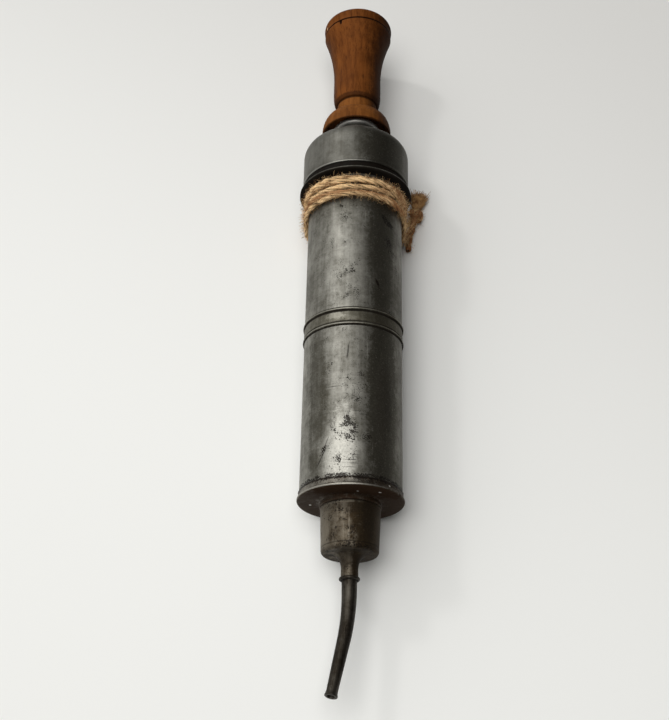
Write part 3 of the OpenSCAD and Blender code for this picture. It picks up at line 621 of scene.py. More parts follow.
# Mouth collar
# A thin round-edged flange with the threaded spigot for the cap, soldered round the upper tube.
# Its rim is rubbed bright and its lower face is painted black; the black on the spigot in the gap under the
# cap is painted shade.
COLLAR_R = 34.2
COLLAR_S = 197.6
COLLAR_T = 1.8
SPIGOT_R = 29.5
SPIGOT_S = 216.0
CAP_PITCH, CAP_THREAD = 3.0, 0.55
collar_finish = pewter_finish(
    "collar_pewter", PEWTER_BRIGHT, PEWTER_TARNISH, 0.10, 0.0, 0.5,
    # The black ring at 205 mm covers the spigot in the gap under the cap: painted shade.
    dark=[ring(0.97, 197.4, 1.25, 0.3), ring(0.97, 205, 6.0, 0.2)])
collar_outline = [(BARREL_R + SOLDER_GAP, COLLAR_S)]
collar_outline += spaced([(BARREL_R + 0.6, COLLAR_S), (COLLAR_R - 0.9, COLLAR_S)], 1.0)
collar_outline += rounding(COLLAR_R - 0.9, COLLAR_S + 0.9, 0.9, -90, 90, 12)
collar_outline += [(SPIGOT_R - 0.4, COLLAR_S + COLLAR_T)]
collar_outline += thread(SPIGOT_R, CAP_THREAD, CAP_PITCH, COLLAR_S + COLLAR_T + 1.0, SPIGOT_S)
collar_outline += [(SPIGOT_R - CAP_THREAD, SPIGOT_S - 0.4), (SPIGOT_R - 0.9, SPIGOT_S), (BORE_R, SPIGOT_S),
                   (BORE_R, UPPER_TOP + SOLDER_GAP), (BARREL_R + SOLDER_GAP, UPPER_TOP + SOLDER_GAP)]
turned_piece("threaded_collar", collar_outline, collar_finish, "barrel", "dark_pewter", "mouth_collar",
             steps=220, dent=0.14, dent_scale=30.0, beyond=31.0, seed=6.0)

# Screw cap
# A spun pewter cap with a round shoulder, a low step and a beaded neck that guides the rod.
# It is smoother and darker than the barrel, its neck stained dark below, with a painted highlight on the bead
# above. The glints on the step and the bright line on the lower rim are painted highlights, and its right
# flank and the middle of its side are painted darker as shade.
CAP_R = 32.4
CAP_BORE_R = 29.8
CAP_S = 204.0
SHOULDER_S = 225.0
SHOULDER_R = 9.0
CAP_INNER_R = 5.6
CAP_TOP = 234.0
STEP_R = 19.3
STEP_TOP = 240.4
NECK_R = 13.2
NECK_TOP = 246.2
NECK_BEAD_R = 2.0
ROD_HOLE_R = 9.4
cap_finish = pewter_finish(
    "cap_pewter", (0.265, 0.26, 0.236), (0.058, 0.054, 0.043), 0.05, -0.04, 0.4, mottle=0.8,
    # Painted highlight: the bright line on the lower rim at -30 degrees; painted shade: the dulling at 96, 34
    # and 6 degrees.
    rubs_and_painted_light=[(0.15, -30, 204.5, 60, 0.5, 0.4), (-0.08, 96, 222, 85, 160, 0.4), (-0.16, 34, 216, 26, 30, 0.8),
            (-0.07, 6, 220, 11, 16, 0.8)],
    dark=[ring(0.55, 241.5, 3.2, 1.2)],
    # The bead's bright ring and the two glints on the step are painted highlights.
    light=[ring(0.95, 248.6, 2.6, 0.3), (0.8, -40.1, 239.6, 3.0, 0.35, 0.8),
           (0.7, 45.5, 239.6, 2.0, 0.35, 0.8)])
cap_outline = [(ROD_HOLE_R, CAP_TOP - 3.4)] + rounding(CAP_R - SHOULDER_R, SHOULDER_S, CAP_INNER_R, 90, 0, 10)
cap_outline += [(29.0, 217.5), (CAP_BORE_R, 217.5), (CAP_BORE_R, CAP_S)]
cap_outline += rounding(CAP_R - 0.35, CAP_S + 0.35, 0.35, -90, 0, 5)
cap_outline += [(CAP_R, CAP_S + 1.1), (CAP_R - 0.12, CAP_S + 1.35)]
cap_outline += spaced([(CAP_R - 0.12, CAP_S + 1.6), (CAP_R, CAP_S + 3), (CAP_R, SHOULDER_S)], 1.2)
cap_outline += rounding(CAP_R - SHOULDER_R, SHOULDER_S, SHOULDER_R, 4, 86, 20)
cap_outline += [(STEP_R + 0.6, CAP_TOP), (STEP_R + 0.15, CAP_TOP + 0.3)]
cap_outline += rounding(STEP_R - 0.6, STEP_TOP - 0.6, 0.6, 0, 90, 6)
cap_outline += [(NECK_R + 1.6, STEP_TOP), (NECK_R + 0.4, STEP_TOP + 0.4), (NECK_R, STEP_TOP + 1.4),
                (NECK_R, NECK_TOP)]
cap_outline += rounding(NECK_R - 0.6, NECK_TOP + NECK_BEAD_R, NECK_BEAD_R, -60, 90, 14)
cap_outline += [(ROD_HOLE_R, NECK_TOP + 2 * NECK_BEAD_R)]
turned_piece("threaded_cap", cap_outline, cap_finish, "cap", "pewter", "screw_cap",
             steps=220, dent=0.14, dent_scale=28.0, beyond=30.5, seed=11.0)

# Washers
# Oiled black leather rings that seal the cap and the nozzle cup, cut from sole leather.
LEATHER_BLACK, LEATHER_WORN = (0.002, 0.0015, 0.001, 1), (0.008, 0.005, 0.003, 1)
leather_finish, tree, shader = new_finish("oiled_leather")
where = object_place(tree)
creases = step("ShaderNodeTexVoronoi", {"Vector": where, "Scale": 900.0}, "Distance",
               feature="DISTANCE_TO_EDGE")
worn = noise(where, 160.0, 4.0)
feed(shader, {"Base Color": blend(worn, LEATHER_BLACK, LEATHER_WORN), "Specular IOR Level": 0.08,
              "Roughness": ramp(worn, 0.2, 0.8, 0.45, 0.75), "Normal": bumps(creases, 0.4, 0.0002)})


def dress_nodes(finish, *nodes):
    """Gives carried-over CAD nodes their finish."""
    for node in nodes:
        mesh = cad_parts[node].data
        mesh.materials.clear()
        mesh.materials.append(finish)


dress_nodes(leather_finish, "cap_washer", "nozzle_washer")

# Piston
# Two plain pewter discs clamp a ring of greased tow on a hub, held by a square iron nut on a stud.
IRON_DARK, IRON_RUST = (0.045, 0.042, 0.04, 1), (0.10, 0.05, 0.025, 1)
TOW_DARK, TOW_LIGHT = (0.10, 0.065, 0.03, 1), (0.42, 0.32, 0.18, 1)
piston_finish = pewter_finish("piston_pewter", (0.36, 0.35, 0.33), (0.15, 0.14, 0.12), 0.0, -0.05, 0.5)
dress_nodes(piston_finish, "piston_rear_disc", "piston_front_disc")
iron_finish, tree, shader = new_finish("forged_iron")
scale = noise(object_place(tree), 220.0, 6.0)
feed(shader, {"Base Color": blend(scale, IRON_DARK, IRON_RUST), "Metallic": 0.8,
              "Roughness": ramp(scale, 0.2, 0.8, 0.45, 0.85), "Normal": bumps(scale, 0.5, 0.0003)})
dress_nodes(iron_finish, "rod_stud", "piston_nut")
tow_finish, tree, shader = new_finish("greased_tow")
where = put(tree, "ShaderNodeGroup", node_tree=barrel_place).outputs
strands = long_noise(where["Unrolled"], (50, 1600, 900), 0.12, 4.0)
feed(shader, {"Base Color": blend(strands, TOW_DARK, TOW_LIGHT), "Roughness": 0.7,
              "Normal": bumps(strands, 0.8, 0.0006)})
dress_nodes(tow_finish, "piston_packing")

# Plunger rod
# A plain turned wooden rod, worn smooth by the cap's neck, glued into the grip with a tenon.
turned_wood, given, result = new_tree("Turned Wood", "ShaderNodeTree", {
    "Place": "Vector", "Light Wood": "Color", "Dark Wood": "Color", "Pore": "Color"},
    {"Color": "Color", "Roughness": "Float", "Normal": "Vector"})
place = given["Place"]
board = step("ShaderNodeMapping", {
    "Vector": place, "Location": (0.031, 0.022, 0), "Rotation": (0.05, 0.08, 0)})
rings = step("ShaderNodeTexWave", {
    "Vector": board, "Scale": 75.0, "Distortion": 6.0, "Detail": 3.0, "Detail Scale": 0.8}, "Fac",
    wave_type="RINGS", rings_direction="Z")
fibres = long_noise(place, (700, 700, 26), 0.0, 5.0)
flecks = long_noise(place, (1500, 1500, 130), 0.0, 2.0)
handled = noise(place, 60.0, 4.0)
pores = ramp(flecks, 0.58, 0.70)
shine = ramp(flecks, 0.42, 0.28)
tone = ramp(weighted((rings, 0.08), (fibres, 0.55), (handled, 0.55)), 0.36, 0.84)
wood = blend(tone, given["Dark Wood"], given["Light Wood"])
wood = blend(calc("MULTIPLY", shine, 0.6), wood, given["Light Wood"])
wood = blend(calc("MULTIPLY", pores, 0.5), wood, given["Pore"])
relief = weighted((fibres, 0.4), (pores, -1.0))
feed(result, {"Color": wood, "Roughness": ramp(handled, 0.25, 0.75, 0.48, 0.64),
              "Normal": bumps(relief, 0.30, 0.0002)})
CLEAN_END_S, CLEAN_FADE = 331.5, 2.4


def wood_finish(name, light, dark, pore, marks):
    """Waxed turned wood with its own marks and painted shade, listed by colour. Only rings reach the grip's
    flat end.
    """
    finish, tree, shader = new_finish(name)
    where = put(tree, "ShaderNodeGroup", node_tree=barrel_place).outputs
    wood = put(tree, "ShaderNodeGroup", {
        "Place": where["Place"], "Light Wood": (*light, 1), "Dark Wood": (*dark, 1), "Pore": (*pore, 1)},
        node_tree=turned_wood).outputs
    colour = wood["Color"]
    on_side = ramp(where["Height"], (CLEAN_END_S + CLEAN_FADE) * MM, CLEAN_END_S * MM)
    for paint, patches in marks.items():
        for strength, *mark in patches:
            cover = calc("MULTIPLY", mark_mask(where, *mark), strength)
            if mark[2] < ALL_ROUND:
                cover = calc("MULTIPLY", cover, on_side)
            colour = blend(cover, colour, (*paint, 1))
    feed(shader, {"Base Color": colour, "Roughness": wood["Roughness"], "Normal": wood["Normal"],
                  "Specular IOR Level": 0.03})
    return finish


rod_finish = wood_finish("rod_wood", (0.36, 0.19, 0.08), (0.20, 0.09, 0.035), (0.06, 0.025, 0.010), {})
dress_nodes(rod_finish, "piston_rod")

# Handle base
# A turned wooden foot, domed outside and hollow underneath, with a neck that enters the grip.
# Its flanks, the edge of its rim and its neck under the grip are painted darker as shade.
FOOT_R = 21.6
FOOT_S = 245.2
DOME_S = 247.0
DOME_H = 12.5
LEDGE_R = 13.0
HANDLE_NECK_R = 12.4
GRIP_S = 268.2
HOLLOW_TOP = 250.8
HOLLOW_R = 17.8
HOLLOW_EDGE_R = 20.6
ROD_R = 9.05
WOOD_GRIME_AND_SHADE = (0.010, 0.004, 0.002)
base_finish = wood_finish(
    "base_wood", (0.215, 0.078, 0.018), (0.105, 0.034, 0.007), (0.024, 0.008, 0.003), {
        # Painted shade: the rings at 268.4 and 245.0 mm and the two wide patches on the flanks.
        WOOD_GRIME_AND_SHADE: [ring(0.75, 261.2, 0.5, 0.5), ring(0.8, 268.4, 1.4, 0.4), ring(0.6, 245.0, 1.0, 0.6),
                     (0.72, 104, 258, 86, 200, 0.4), (0.40, -114, 258, 60, 200, 0.4)]})
base_outline = [(ROD_R, HOLLOW_TOP), (HOLLOW_R, HOLLOW_TOP), (HOLLOW_EDGE_R, FOOT_S)]
base_outline += rounding(FOOT_R - 0.5, FOOT_S + 0.5, 0.5, -90, 0, 5)
for a in map(radians, range(3, 90, 5)):
    base_outline.append((LEDGE_R + (FOOT_R - LEDGE_R) * cos(a), DOME_S + DOME_H * sin(a)))
base_outline += [(LEDGE_R, 259.6), (LEDGE_R, 260.3), (12.2, 260.9), (12.15, 261.4), (HANDLE_NECK_R, 261.9),
                 (HANDLE_NECK_R, GRIP_S + 0.8), (ROD_R, GRIP_S + 0.8)]
turned_piece("wooden_base", base_outline, base_finish, "plunger", "base_wood", "handle_base",
             steps=180, dent=0.10, dent_scale=40.0, beyond=11.0, seed=13.0)

# Handle grip
# A waxed hardwood grip turned with a straight waist, a bell end, one ring groove and a round lip.
# It has an old worm hole beside the groove and a chip on its left shoulder.
# Its flanks and its lower edge are painted darker as shade.
WAIST_R = 15.0
BELL_S = 288.0
BELL_LEN = 35.8
BELL_CURVE = 97.0
GROOVE_S = 324.6
LIP_R = 4.0
GRIP_END = 335.4
END_RISE = 1.5
TENON_HOLE_R, TENON_HOLE_LEN = 7.55, 34.85
WORM_BLACK, CHIP_PALE = (0.003, 0.0015, 0.001), (0.62, 0.40, 0.22)
GRIP_HOLES = [(-32.8, 323.8, 0.8, 1.0, 1.6), (-69.8, 327.1, 0.7, 1.2, 0.5)]
HOLES_BEYOND = 12.8
grip_finish = wood_finish(
    "grip_wood", (0.180, 0.058, 0.0125), (0.082, 0.024, 0.005), (0.018, 0.006, 0.002), {
        # Painted shade: the ring at 268.6 mm under the lower edge and the two wide patches on the flanks.
        WOOD_GRIME_AND_SHADE: [ring(0.55, 334.0, 2.2, 0.5), ring(0.9, 325.0, 0.75, 0.5), ring(0.6, 268.6, 2.4, 0.8),
                     (0.80, 104, 300, 86, 200, 0.4), (0.40, -114, 300, 60, 200, 0.4)],
        WORM_BLACK: [(1.0, -32.8, 323.8, 2.6, 1.8, 0.4)],
        CHIP_PALE: [(0.95, -69.8, 327.1, 1.5, 1.4, 0.5)]})
bell_r = WAIST_R + BELL_LEN ** 2 / (2 * BELL_CURVE)
lip_out = bell_r + 0.4
tenon_end = GRIP_S + TENON_HOLE_LEN
grip_outline = [(0, tenon_end), (TENON_HOLE_R, tenon_end), (TENON_HOLE_R, GRIP_S + 0.85)]
grip_outline += [(12.45, GRIP_S + 0.85), (12.45, GRIP_S), (13.1, GRIP_S)]
grip_outline += [(13.5, GRIP_S + 0.25), (13.9, GRIP_S + 0.9), (14.4, GRIP_S + 2.4), (14.8, GRIP_S + 4.9)]
grip_outline += spaced([(WAIST_R, GRIP_S + 7.6), (WAIST_R, BELL_S)], 1.5)
for i in range(1, 29):
    along = BELL_LEN * i / 28
    grip_outline.append((WAIST_R + along ** 2 / (2 * BELL_CURVE), BELL_S + along))
grip_outline += [(bell_r - 0.1, GROOVE_S), (bell_r - 0.75, GROOVE_S + 0.35), (bell_r - 0.1, GROOVE_S + 0.85)]
grip_outline += rounding(lip_out - LIP_R, GRIP_END - END_RISE - LIP_R, LIP_R, -22, 90, 18)
grip_outline += spaced([(lip_out - LIP_R, GRIP_END - END_RISE), (0, GRIP_END)], 1.5)[1:]
turned_piece("wooden_grip", grip_outline, grip_finish, "plunger", "grip_wood", "handle_grip",
             [(HOLES_BEYOND, -inf, GRIP_HOLES)],
             steps=240, dent=0.14, dent_scale=30.0, beyond=13.2, seed=17.0)

# Nozzle cup and solder bead
# A brown-tarnished pewter cup that screws on the boss, its flared neck holding the nozzle tube.
# A round bead of solder closes the joint of neck and tube. The cup's left side is painted lighter as a
# highlight;
# its middle, its top under the plate and its right flank are painted darker as shade.
CUP_MOUTH_R = 16.5
CUP_FLOOR_R = 15.6
CUP_MOUTH_S = -3.15
CUP_BORE_R = 12.9
CUP_FLOOR_S = -23.3
CUP_BOTTOM = -29.0
CUP_EDGE_R = 2.0
FLARE_LEN = 7.5
FLARE_R = 9.2
THROAT_BOTTOM = -41.5
THROAT_R = 4.65
PASSAGE_R = 2.5
SOCKET_R = 3.45
SOCKET_S = -34.5
BEAD_R = 0.95
cup_finish = pewter_finish(
    "cup_pewter", (0.180, 0.156, 0.121), (0.040, 0.028, 0.016), 0.04, 0.06, 0.8, mottle=1.6, rougher=0.08,
    # Painted highlight: the rub at -64 degrees; painted shade: the dulling at 4, 96 and 34 degrees.
    rubs_and_painted_light=[(0.14, -3, -17, 2.0, 9, 2.0), ring(0.2, -4.0, 0.8, 1.2), (0.14, -64, -16, 24, 16, 0.8),
            (-0.12, 4, -14, 12, 14, 1.0), (-0.06, -22, -20, 9, 7, 1.2), (-0.22, 96, -15, 85, 160, 0.4),
            (-0.2, 34, -15, 30, 30, 0.8)],
    pitted=[(0.10, -28, -8, 18, 6, 2.2), (0.09, 4, -22, 12, 7, 2.2), ring(0.08, -28, 1.6, 1.6)],
    dark=[(0.85, -28.8, -18.1, 2.6, 0.9, 1.4), (0.4, -36, -23, 1.0, 5, 1.4, 3.6),
          # The dark patches at 4 degrees under the plate and at 37 degrees on the right flank are painted
          # shade.
          (0.4, -32, -23, 1.0, 5, 1.4, -3.0), (0.35, 4, -6, 34, 5, 1.0), (0.55, 37, -14, 17, 14, 0.8),
          ring(0.55, -25.8, 0.45, 1.2), ring(0.5, -33, 4.5, 2.4)])
cup_outline = [(PASSAGE_R, CUP_FLOOR_S), (PASSAGE_R, SOCKET_S), (SOCKET_R, SOCKET_S),
               (SOCKET_R, THROAT_BOTTOM), (THROAT_R, THROAT_BOTTOM)]
for a in map(radians, range(0, 91, 5)):
    cup_outline.append((THROAT_R + (FLARE_R - THROAT_R) * (1 - cos(a)),
                        CUP_BOTTOM - FLARE_LEN * (1 - sin(a))))
cup_outline += spaced([(FLARE_R, CUP_BOTTOM), (CUP_FLOOR_R - CUP_EDGE_R, CUP_BOTTOM)], 0.8)[1:]
cup_outline += rounding(CUP_FLOOR_R - CUP_EDGE_R, CUP_BOTTOM + CUP_EDGE_R, CUP_EDGE_R, -90, 0, 12)[1:]
cup_outline += spaced([(CUP_FLOOR_R, CUP_BOTTOM + CUP_EDGE_R), (CUP_MOUTH_R, CUP_MOUTH_S - 0.5)], 0.8)[1:]
cup_outline += [(CUP_MOUTH_R - 0.15, CUP_MOUTH_S - 0.15), (CUP_MOUTH_R - 0.5, CUP_MOUTH_S),
                (CUP_BORE_R, CUP_MOUTH_S), (CUP_BORE_R, CUP_FLOOR_S)]
turned_piece("threaded_cup", cup_outline, cup_finish, "nozzle", "dark_pewter", "nozzle_cup",
             steps=200, dent=0.16, dent_scale=55.0, beyond=13.2, seed=19.0)
tube_finish = pewter_finish("nozzle_pewter", (0.074, 0.067, 0.056), (0.016, 0.012, 0.008), 0.08, 0.08, 0.9,
                            mottle=1.8)
bead_outline = rounding(THROAT_R + 0.05, THROAT_BOTTOM - BEAD_R / 2, BEAD_R, -90, 90, 14)
turned_piece("solder_bead", bead_outline, tube_finish, "nozzle", "dark_pewter", "nozzle_bead",
             steps=72, dent=0.12, dent_scale=260.0, beyond=4.9, seed=23.0)

# Nozzle tube
# A drawn, tapered pewter tube, bent up and to the left by use, with a small lip round its hole.
TUBE_STRAIGHT, TUBE_BENT, TUBE_END = 8.5, 25.0, 30.5
TUBE_LENGTH = TUBE_STRAIGHT + TUBE_BENT + TUBE_END
TUBE_BEND = radians(15)
TUBE_ROLL = radians(41)
TUBE_ROOT_R, TUBE_TIP_R = 4.2, 3.0
TUBE_LIP = 3.0
TUBE_BORE_R, TIP_BORE_R = 1.85, 1.9
TAIL_R, TAIL_LEN = 3.4, 6.9
BEND_R = TUBE_BENT / TUBE_BEND
TUBE_TOP = THROAT_BOTTOM - SOLDER_GAP
DOWN = Vector((0, 0, -1))


def tube_station(d):
    """Centre and direction of the nozzle at a distance from the bead."""
    turn = min(max(d - TUBE_STRAIGHT, 0) / BEND_R, TUBE_BEND)
    straight = min(d, TUBE_STRAIGHT)
    rest = max(d - TUBE_STRAIGHT - TUBE_BENT, 0)
    side = BEND_R * (1 - cos(turn)) + rest * sin(turn)
    down = straight + BEND_R * sin(turn) + rest * cos(turn)
    left = Vector((-cos(TUBE_ROLL), -sin(TUBE_ROLL), 0))
    centre = left * side + Vector((0, 0, TUBE_TOP - down))
    return centre, left * sin(turn) - Vector((0, 0, cos(turn)))


taper = (TUBE_ROOT_R - TUBE_TIP_R) / (TUBE_LENGTH - TUBE_LIP)
tube_outline = [(TUBE_BORE_R, TAIL_LEN), (TAIL_R, TAIL_LEN), (TAIL_R, 0.0), (TUBE_ROOT_R, 0.0)]
tube_outline += [(TUBE_ROOT_R - taper * d, -d) for d in range(1, round(TUBE_LENGTH - TUBE_LIP))]
tube_outline += [(r, d - TUBE_LENGTH) for r, d in (
    (3.02, 2.8), (3.12, 1.8), (3.30, 1.0), (3.45, 0.6), (3.42, 0.2), (3.2, 0), (2.2, 0), (TIP_BORE_R, 0.5))]
tube_outline += spaced([(TIP_BORE_R, -TUBE_LENGTH + 0.5), (TUBE_BORE_R, TAIL_LEN)], 1.5)[1:]
tube_mesh = turned_mesh("bent_tube", tube_outline, tube_finish, steps=56, dent=0.16, dent_scale=120.0,
                        beyond=2.6, seed=29.0)
for vertex in tube_mesh.vertices:
    x, y, s = vertex.co / MM
    centre, way = tube_station(-s) if s < 0 else (Vector((0, 0, TUBE_TOP + s)), DOWN)
    vertex.co = (centre + DOWN.rotation_difference(way) @ Vector((x, y, 0))) * MM
tube_mesh.transform(LAY)
show_piece("bent_tube", tube_mesh, "nozzle", "dark_pewter", "nozzle_tube")

# Twine winding
# Three-ply jute twine, wound five times round the barrel under the collar. Its lower half hangs
# slack to the table on both sides, and both its ends go into the knot on the right.
TWINE_D = 2.9
TWINE_PITCH = 3.35
TURN_STEPS = 24
LOOP_R = (BARREL_R + TWINE_D / 2 + SOLDER_GAP) / cos(pi / TURN_STEPS)
FIRST_ANGLE, LAST_ANGLE, TURNS = -62.0, -25.0, 5
FIRST_S = COLLAR_S - 0.6 - TWINE_D / 2
SLACK = 4.0
LOOSE_PHASE, LOOSE_SWAY, LOOSE_LIFT = 0.62, 1.2, 1.5
COLLAR_FOOT = LAY @ (Vector((0, COLLAR_R, COLLAR_S + 0.9)) * MM)
UNDER_LEAD = [(36, 4, 3), (33, 2, 2), (27, -2, 2)]
SIDE_LEAD = [(33, -12, 8), (35, -5, 5), (37, 0, 6), (38, 3, 7)]


def by_collar(right, beyond, above):
    """A point right of, beyond and above the place where the collar meets the table, in millimetres."""
    return Vector((right * MM, COLLAR_FOOT.y + beyond * MM, above * MM))


def turn_point(angle, s, lift):
    """Centre of the twine at an angle round the barrel: lifted a little on top, slack to the table below."""
    a = radians(angle)
    low = (LAY @ Vector((0, 0, s * MM))).z / MM / cos(LIE_ANGLE) - TWINE_D / 2 - 0.4
    reach = LOOP_R + lift * max(sin(a), 0)
    if sin(a) < 0:
        reach = ((abs(cos(a)) / LOOP_R) ** SLACK + (abs(sin(a)) / low) ** SLACK) ** (-1 / SLACK)
    return LAY @ (Vector((reach * cos(a), -reach * sin(a), s)) * MM)


sweep = 360 * TURNS + FIRST_ANGLE - LAST_ANGLE
twine_steps = round(TURN_STEPS * sweep / 360)
twine_route = [by_collar(*p) for p in UNDER_LEAD]
for i in range(twine_steps + 1):
    turned_by = sweep * i / twine_steps
    laid = 2 * pi * LOOSE_PHASE * turned_by / 360
    swayed = LOOSE_SWAY * (0.6 * sin(laid) + 0.3 * sin(2.7 * laid))
    s = FIRST_S - 0.4 - TWINE_PITCH * turned_by / 360 - swayed
    twine_route.append(turn_point(FIRST_ANGLE - turned_by, s, 0.3 + LOOSE_LIFT * (0.5 + 0.5 * cos(laid))))
twine_route += [by_collar(*p) for p in SIDE_LEAD]


def keep(geometry, name, value, data_type="FLOAT"):
    """Keeps a value on every point under a name."""
    return step("GeometryNodeStoreNamedAttribute", {"Geometry": geometry, "Name": name, "Value": value},
                data_type=data_type, domain="POINT")


# Twisted twine: plies laid round a route that wanders a little, each ply uneven
twisting, given, result = new_tree("Twisted Twine", "GeometryNodeTree", {
    "Route": "Geometry", "Plies": "Int", "Ply Offset": "Float", "Ply Radius": "Float", "Lay Length": "Float",
    "Step": "Float", "Wander": "Float", "Unevenness": "Float", "Seed": "Float", "Finish": "Material"},
    {"Twine": "Geometry"})
route = step("GeometryNodeMeshToCurve", {"Mesh": given["Route"]})
route = step("GeometryNodeCurveSplineType", {"Curve": route}, spline_type="CATMULL_ROM")
route = step("GeometryNodeResampleCurve", {"Curve": route, "Length": given["Step"]}, mode="LENGTH")
length = put(twisting, "GeometryNodeSplineParameter").outputs["Length"]
sway = step("ShaderNodeCombineXYZ", {"X": length, "Y": given["Seed"]})
sway = step("ShaderNodeTexNoise", {"Vector": sway, "Scale": 38.0, "Detail": 2.0}, "Color")
sway = vector_calc("SCALE", vector_calc("SUBTRACT", sway, (0.5, 0.5, 0.5)), scale=given["Wander"])
route = step("GeometryNodeSetPosition", {"Geometry": route, "Offset": sway})
here = put(twisting, "GeometryNodeInputPosition").outputs["Position"]
plies = put(twisting, "GeometryNodeDuplicateElements", {"Geometry": route, "Amount": given["Plies"]},
            domain="SPLINE").outputs
strands = keep(plies["Geometry"], "along", length)
strands = keep(strands, "middle", here, "FLOAT_VECTOR")
ply = calc("DIVIDE", plies["Duplicate Index"], given["Plies"])
turns = calc("ADD", calc("DIVIDE", length, given["Lay Length"]), ply)
angle = calc("MULTIPLY", turns, 2 * pi)
tangent = put(twisting, "GeometryNodeInputTangent").outputs["Tangent"]
normal = put(twisting, "GeometryNodeInputNormal").outputs["Normal"]
lift = vector_calc("SCALE", normal, scale=calc("COSINE", angle))
slide = vector_calc("SCALE", vector_calc("CROSS_PRODUCT", tangent, normal), scale=calc("SINE", angle))
offset = vector_calc("SCALE", vector_calc("ADD", lift, slide), scale=given["Ply Offset"])
strands = step("GeometryNodeSetPosition", {"Geometry": strands, "Offset": offset})
lumps = step("ShaderNodeTexNoise", {"Vector": here, "W": given["Seed"], "Scale": 240.0, "Detail": 2.0}, "Fac",
             noise_dimensions="4D")
swell = calc("ADD", calc("MULTIPLY", calc("SUBTRACT", lumps, 0.5), given["Unevenness"]), 1.0)
swell = calc("MULTIPLY", swell, given["Ply Radius"])
strands = step("GeometryNodeSetCurveRadius", {"Curve": strands, "Radius": swell})
section = put(twisting, "GeometryNodeCurvePrimitiveCircle", {"Resolution": 8, "Radius": 1.0}).outputs["Curve"]
section = keep(section, "around", here, "FLOAT_VECTOR")
thick = put(twisting, "GeometryNodeInputRadius").outputs["Radius"]
twine = step("GeometryNodeCurveToMesh", {
    "Curve": strands, "Profile Curve": section, "Fill Caps": True, "Scale": thick})
middle = put(twisting, "GeometryNodeInputNamedAttribute", {"Name": "middle"},
             data_type="FLOAT_VECTOR").outputs["Attribute"]
out = step("ShaderNodeVectorMath", {0: here, 1: middle}, "Value", operation="DISTANCE")
crest = calc("DIVIDE", out, calc("ADD", given["Ply Offset"], given["Ply Radius"]))
twine = keep(twine, "crest", crest)
twine = step("GeometryNodeRemoveAttribute", {"Geometry": twine, "Name": "middle"})
end_tree(given, result, step("GeometryNodeSetShadeSmooth", {"Geometry": twine}))

# Jute: straw-coloured and brown fibres along each ply, painted shade where the plies meet, one length of it
# stained, and the right side painted darker as shade
JUTE_STRAW, JUTE_BROWN, JUTE_GROOVE_SHADE = (0.92, 0.65, 0.35, 1), (0.17, 0.072, 0.023, 1), (0.022, 0.008, 0.003, 1)
JUTE_STAIN_AND_SHADE = (0.30, 0.13, 0.05, 1)
STAINED_FROM, STAINED_TO, STAIN_FADE = 0.63, 0.86, 0.02
DARK_SIDE_FROM, DARK_SIDE_TO = 4, 26


def jute_finish(name, straw, brown):
    """Raw jute in two tones."""
    finish, tree, shader = new_finish(name)
    round_ply = put(tree, "ShaderNodeAttribute", attribute_name="around").outputs["Vector"]
    down_ply = put(tree, "ShaderNodeAttribute", attribute_name="along").outputs["Fac"]
    out_ply = put(tree, "ShaderNodeAttribute", attribute_name="crest").outputs["Fac"]
    apart = put(tree, "ShaderNodeSeparateXYZ", {"Vector": round_ply}).outputs
    fibre_way = step("ShaderNodeCombineXYZ", {
        "X": apart["X"], "Y": apart["Y"], "Z": calc("MULTIPLY", down_ply, 40.0)})
    fibres = noise(fibre_way, 5.5, 4.0, 0.7)
    place = object_place(tree)
    stretch = noise(step("ShaderNodeCombineXYZ", {"X": down_ply}), 16.0, 2.0)
    tone = weighted((fibres, 0.7), (noise(place, 160.0), 0.3), (stretch, 0.5))
    fibre = blend(ramp(tone, 0.66, 0.80), brown, straw)
    stained = calc("MULTIPLY", ramp(down_ply, STAINED_FROM - STAIN_FADE, STAINED_FROM + STAIN_FADE),
                   ramp(down_ply, STAINED_TO + STAIN_FADE, STAINED_TO - STAIN_FADE))
    fibre = blend(calc("MULTIPLY", stained, 0.75), fibre, JUTE_STAIN_AND_SHADE)
    # The right side of the twine is painted darker as shade.
    right = put(tree, "ShaderNodeSeparateXYZ", {"Vector": place}).outputs["X"]
    shaded = calc("MULTIPLY", ramp(right, DARK_SIDE_FROM * MM, DARK_SIDE_TO * MM),
                  ramp(noise(place, 90.0), 0.38, 0.62, 0.2, 0.95))
    fibre = blend(shaded, fibre, JUTE_STAIN_AND_SHADE)
    # Painted shade where the plies meet.
    fibre = blend(ramp(out_ply, 0.85, 0.55), fibre, JUTE_GROOVE_SHADE)
    feed(shader, {"Base Color": fibre, "Normal": bumps(fibres, 0.7, 0.0003), "Roughness": 0.85,
                  "Specular IOR Level": 0.2})
    return finish


PLY_RADIUS, PLY_OFFSET, LAY_LENGTH, PLY_STEP = 0.88, 0.62, 20.0, 0.6


def twine_mesh(name, route, finish, seed, wander, thicker):
    """Twisted jute along a route in metres."""
    return plain_mesh(line_mesh(name, route), twisting, {
        "Plies": 3, "Ply Offset": PLY_OFFSET * MM * thicker, "Ply Radius": PLY_RADIUS * MM * thicker,
        "Lay Length": LAY_LENGTH * MM, "Step": PLY_STEP * MM, "Wander": wander * MM, "Unevenness": 1.0,
        "Seed": seed, "Finish": finish})


twine_finish = jute_finish("raw_jute", JUTE_STRAW, JUTE_BROWN)
turns_mesh = twine_mesh("twine_turns", twine_route, twine_finish, 1.0, 2.4, 0.99)
twine_turns = show_piece("twine_turns", turns_mesh, "barrel", "jute", "twine_winding")

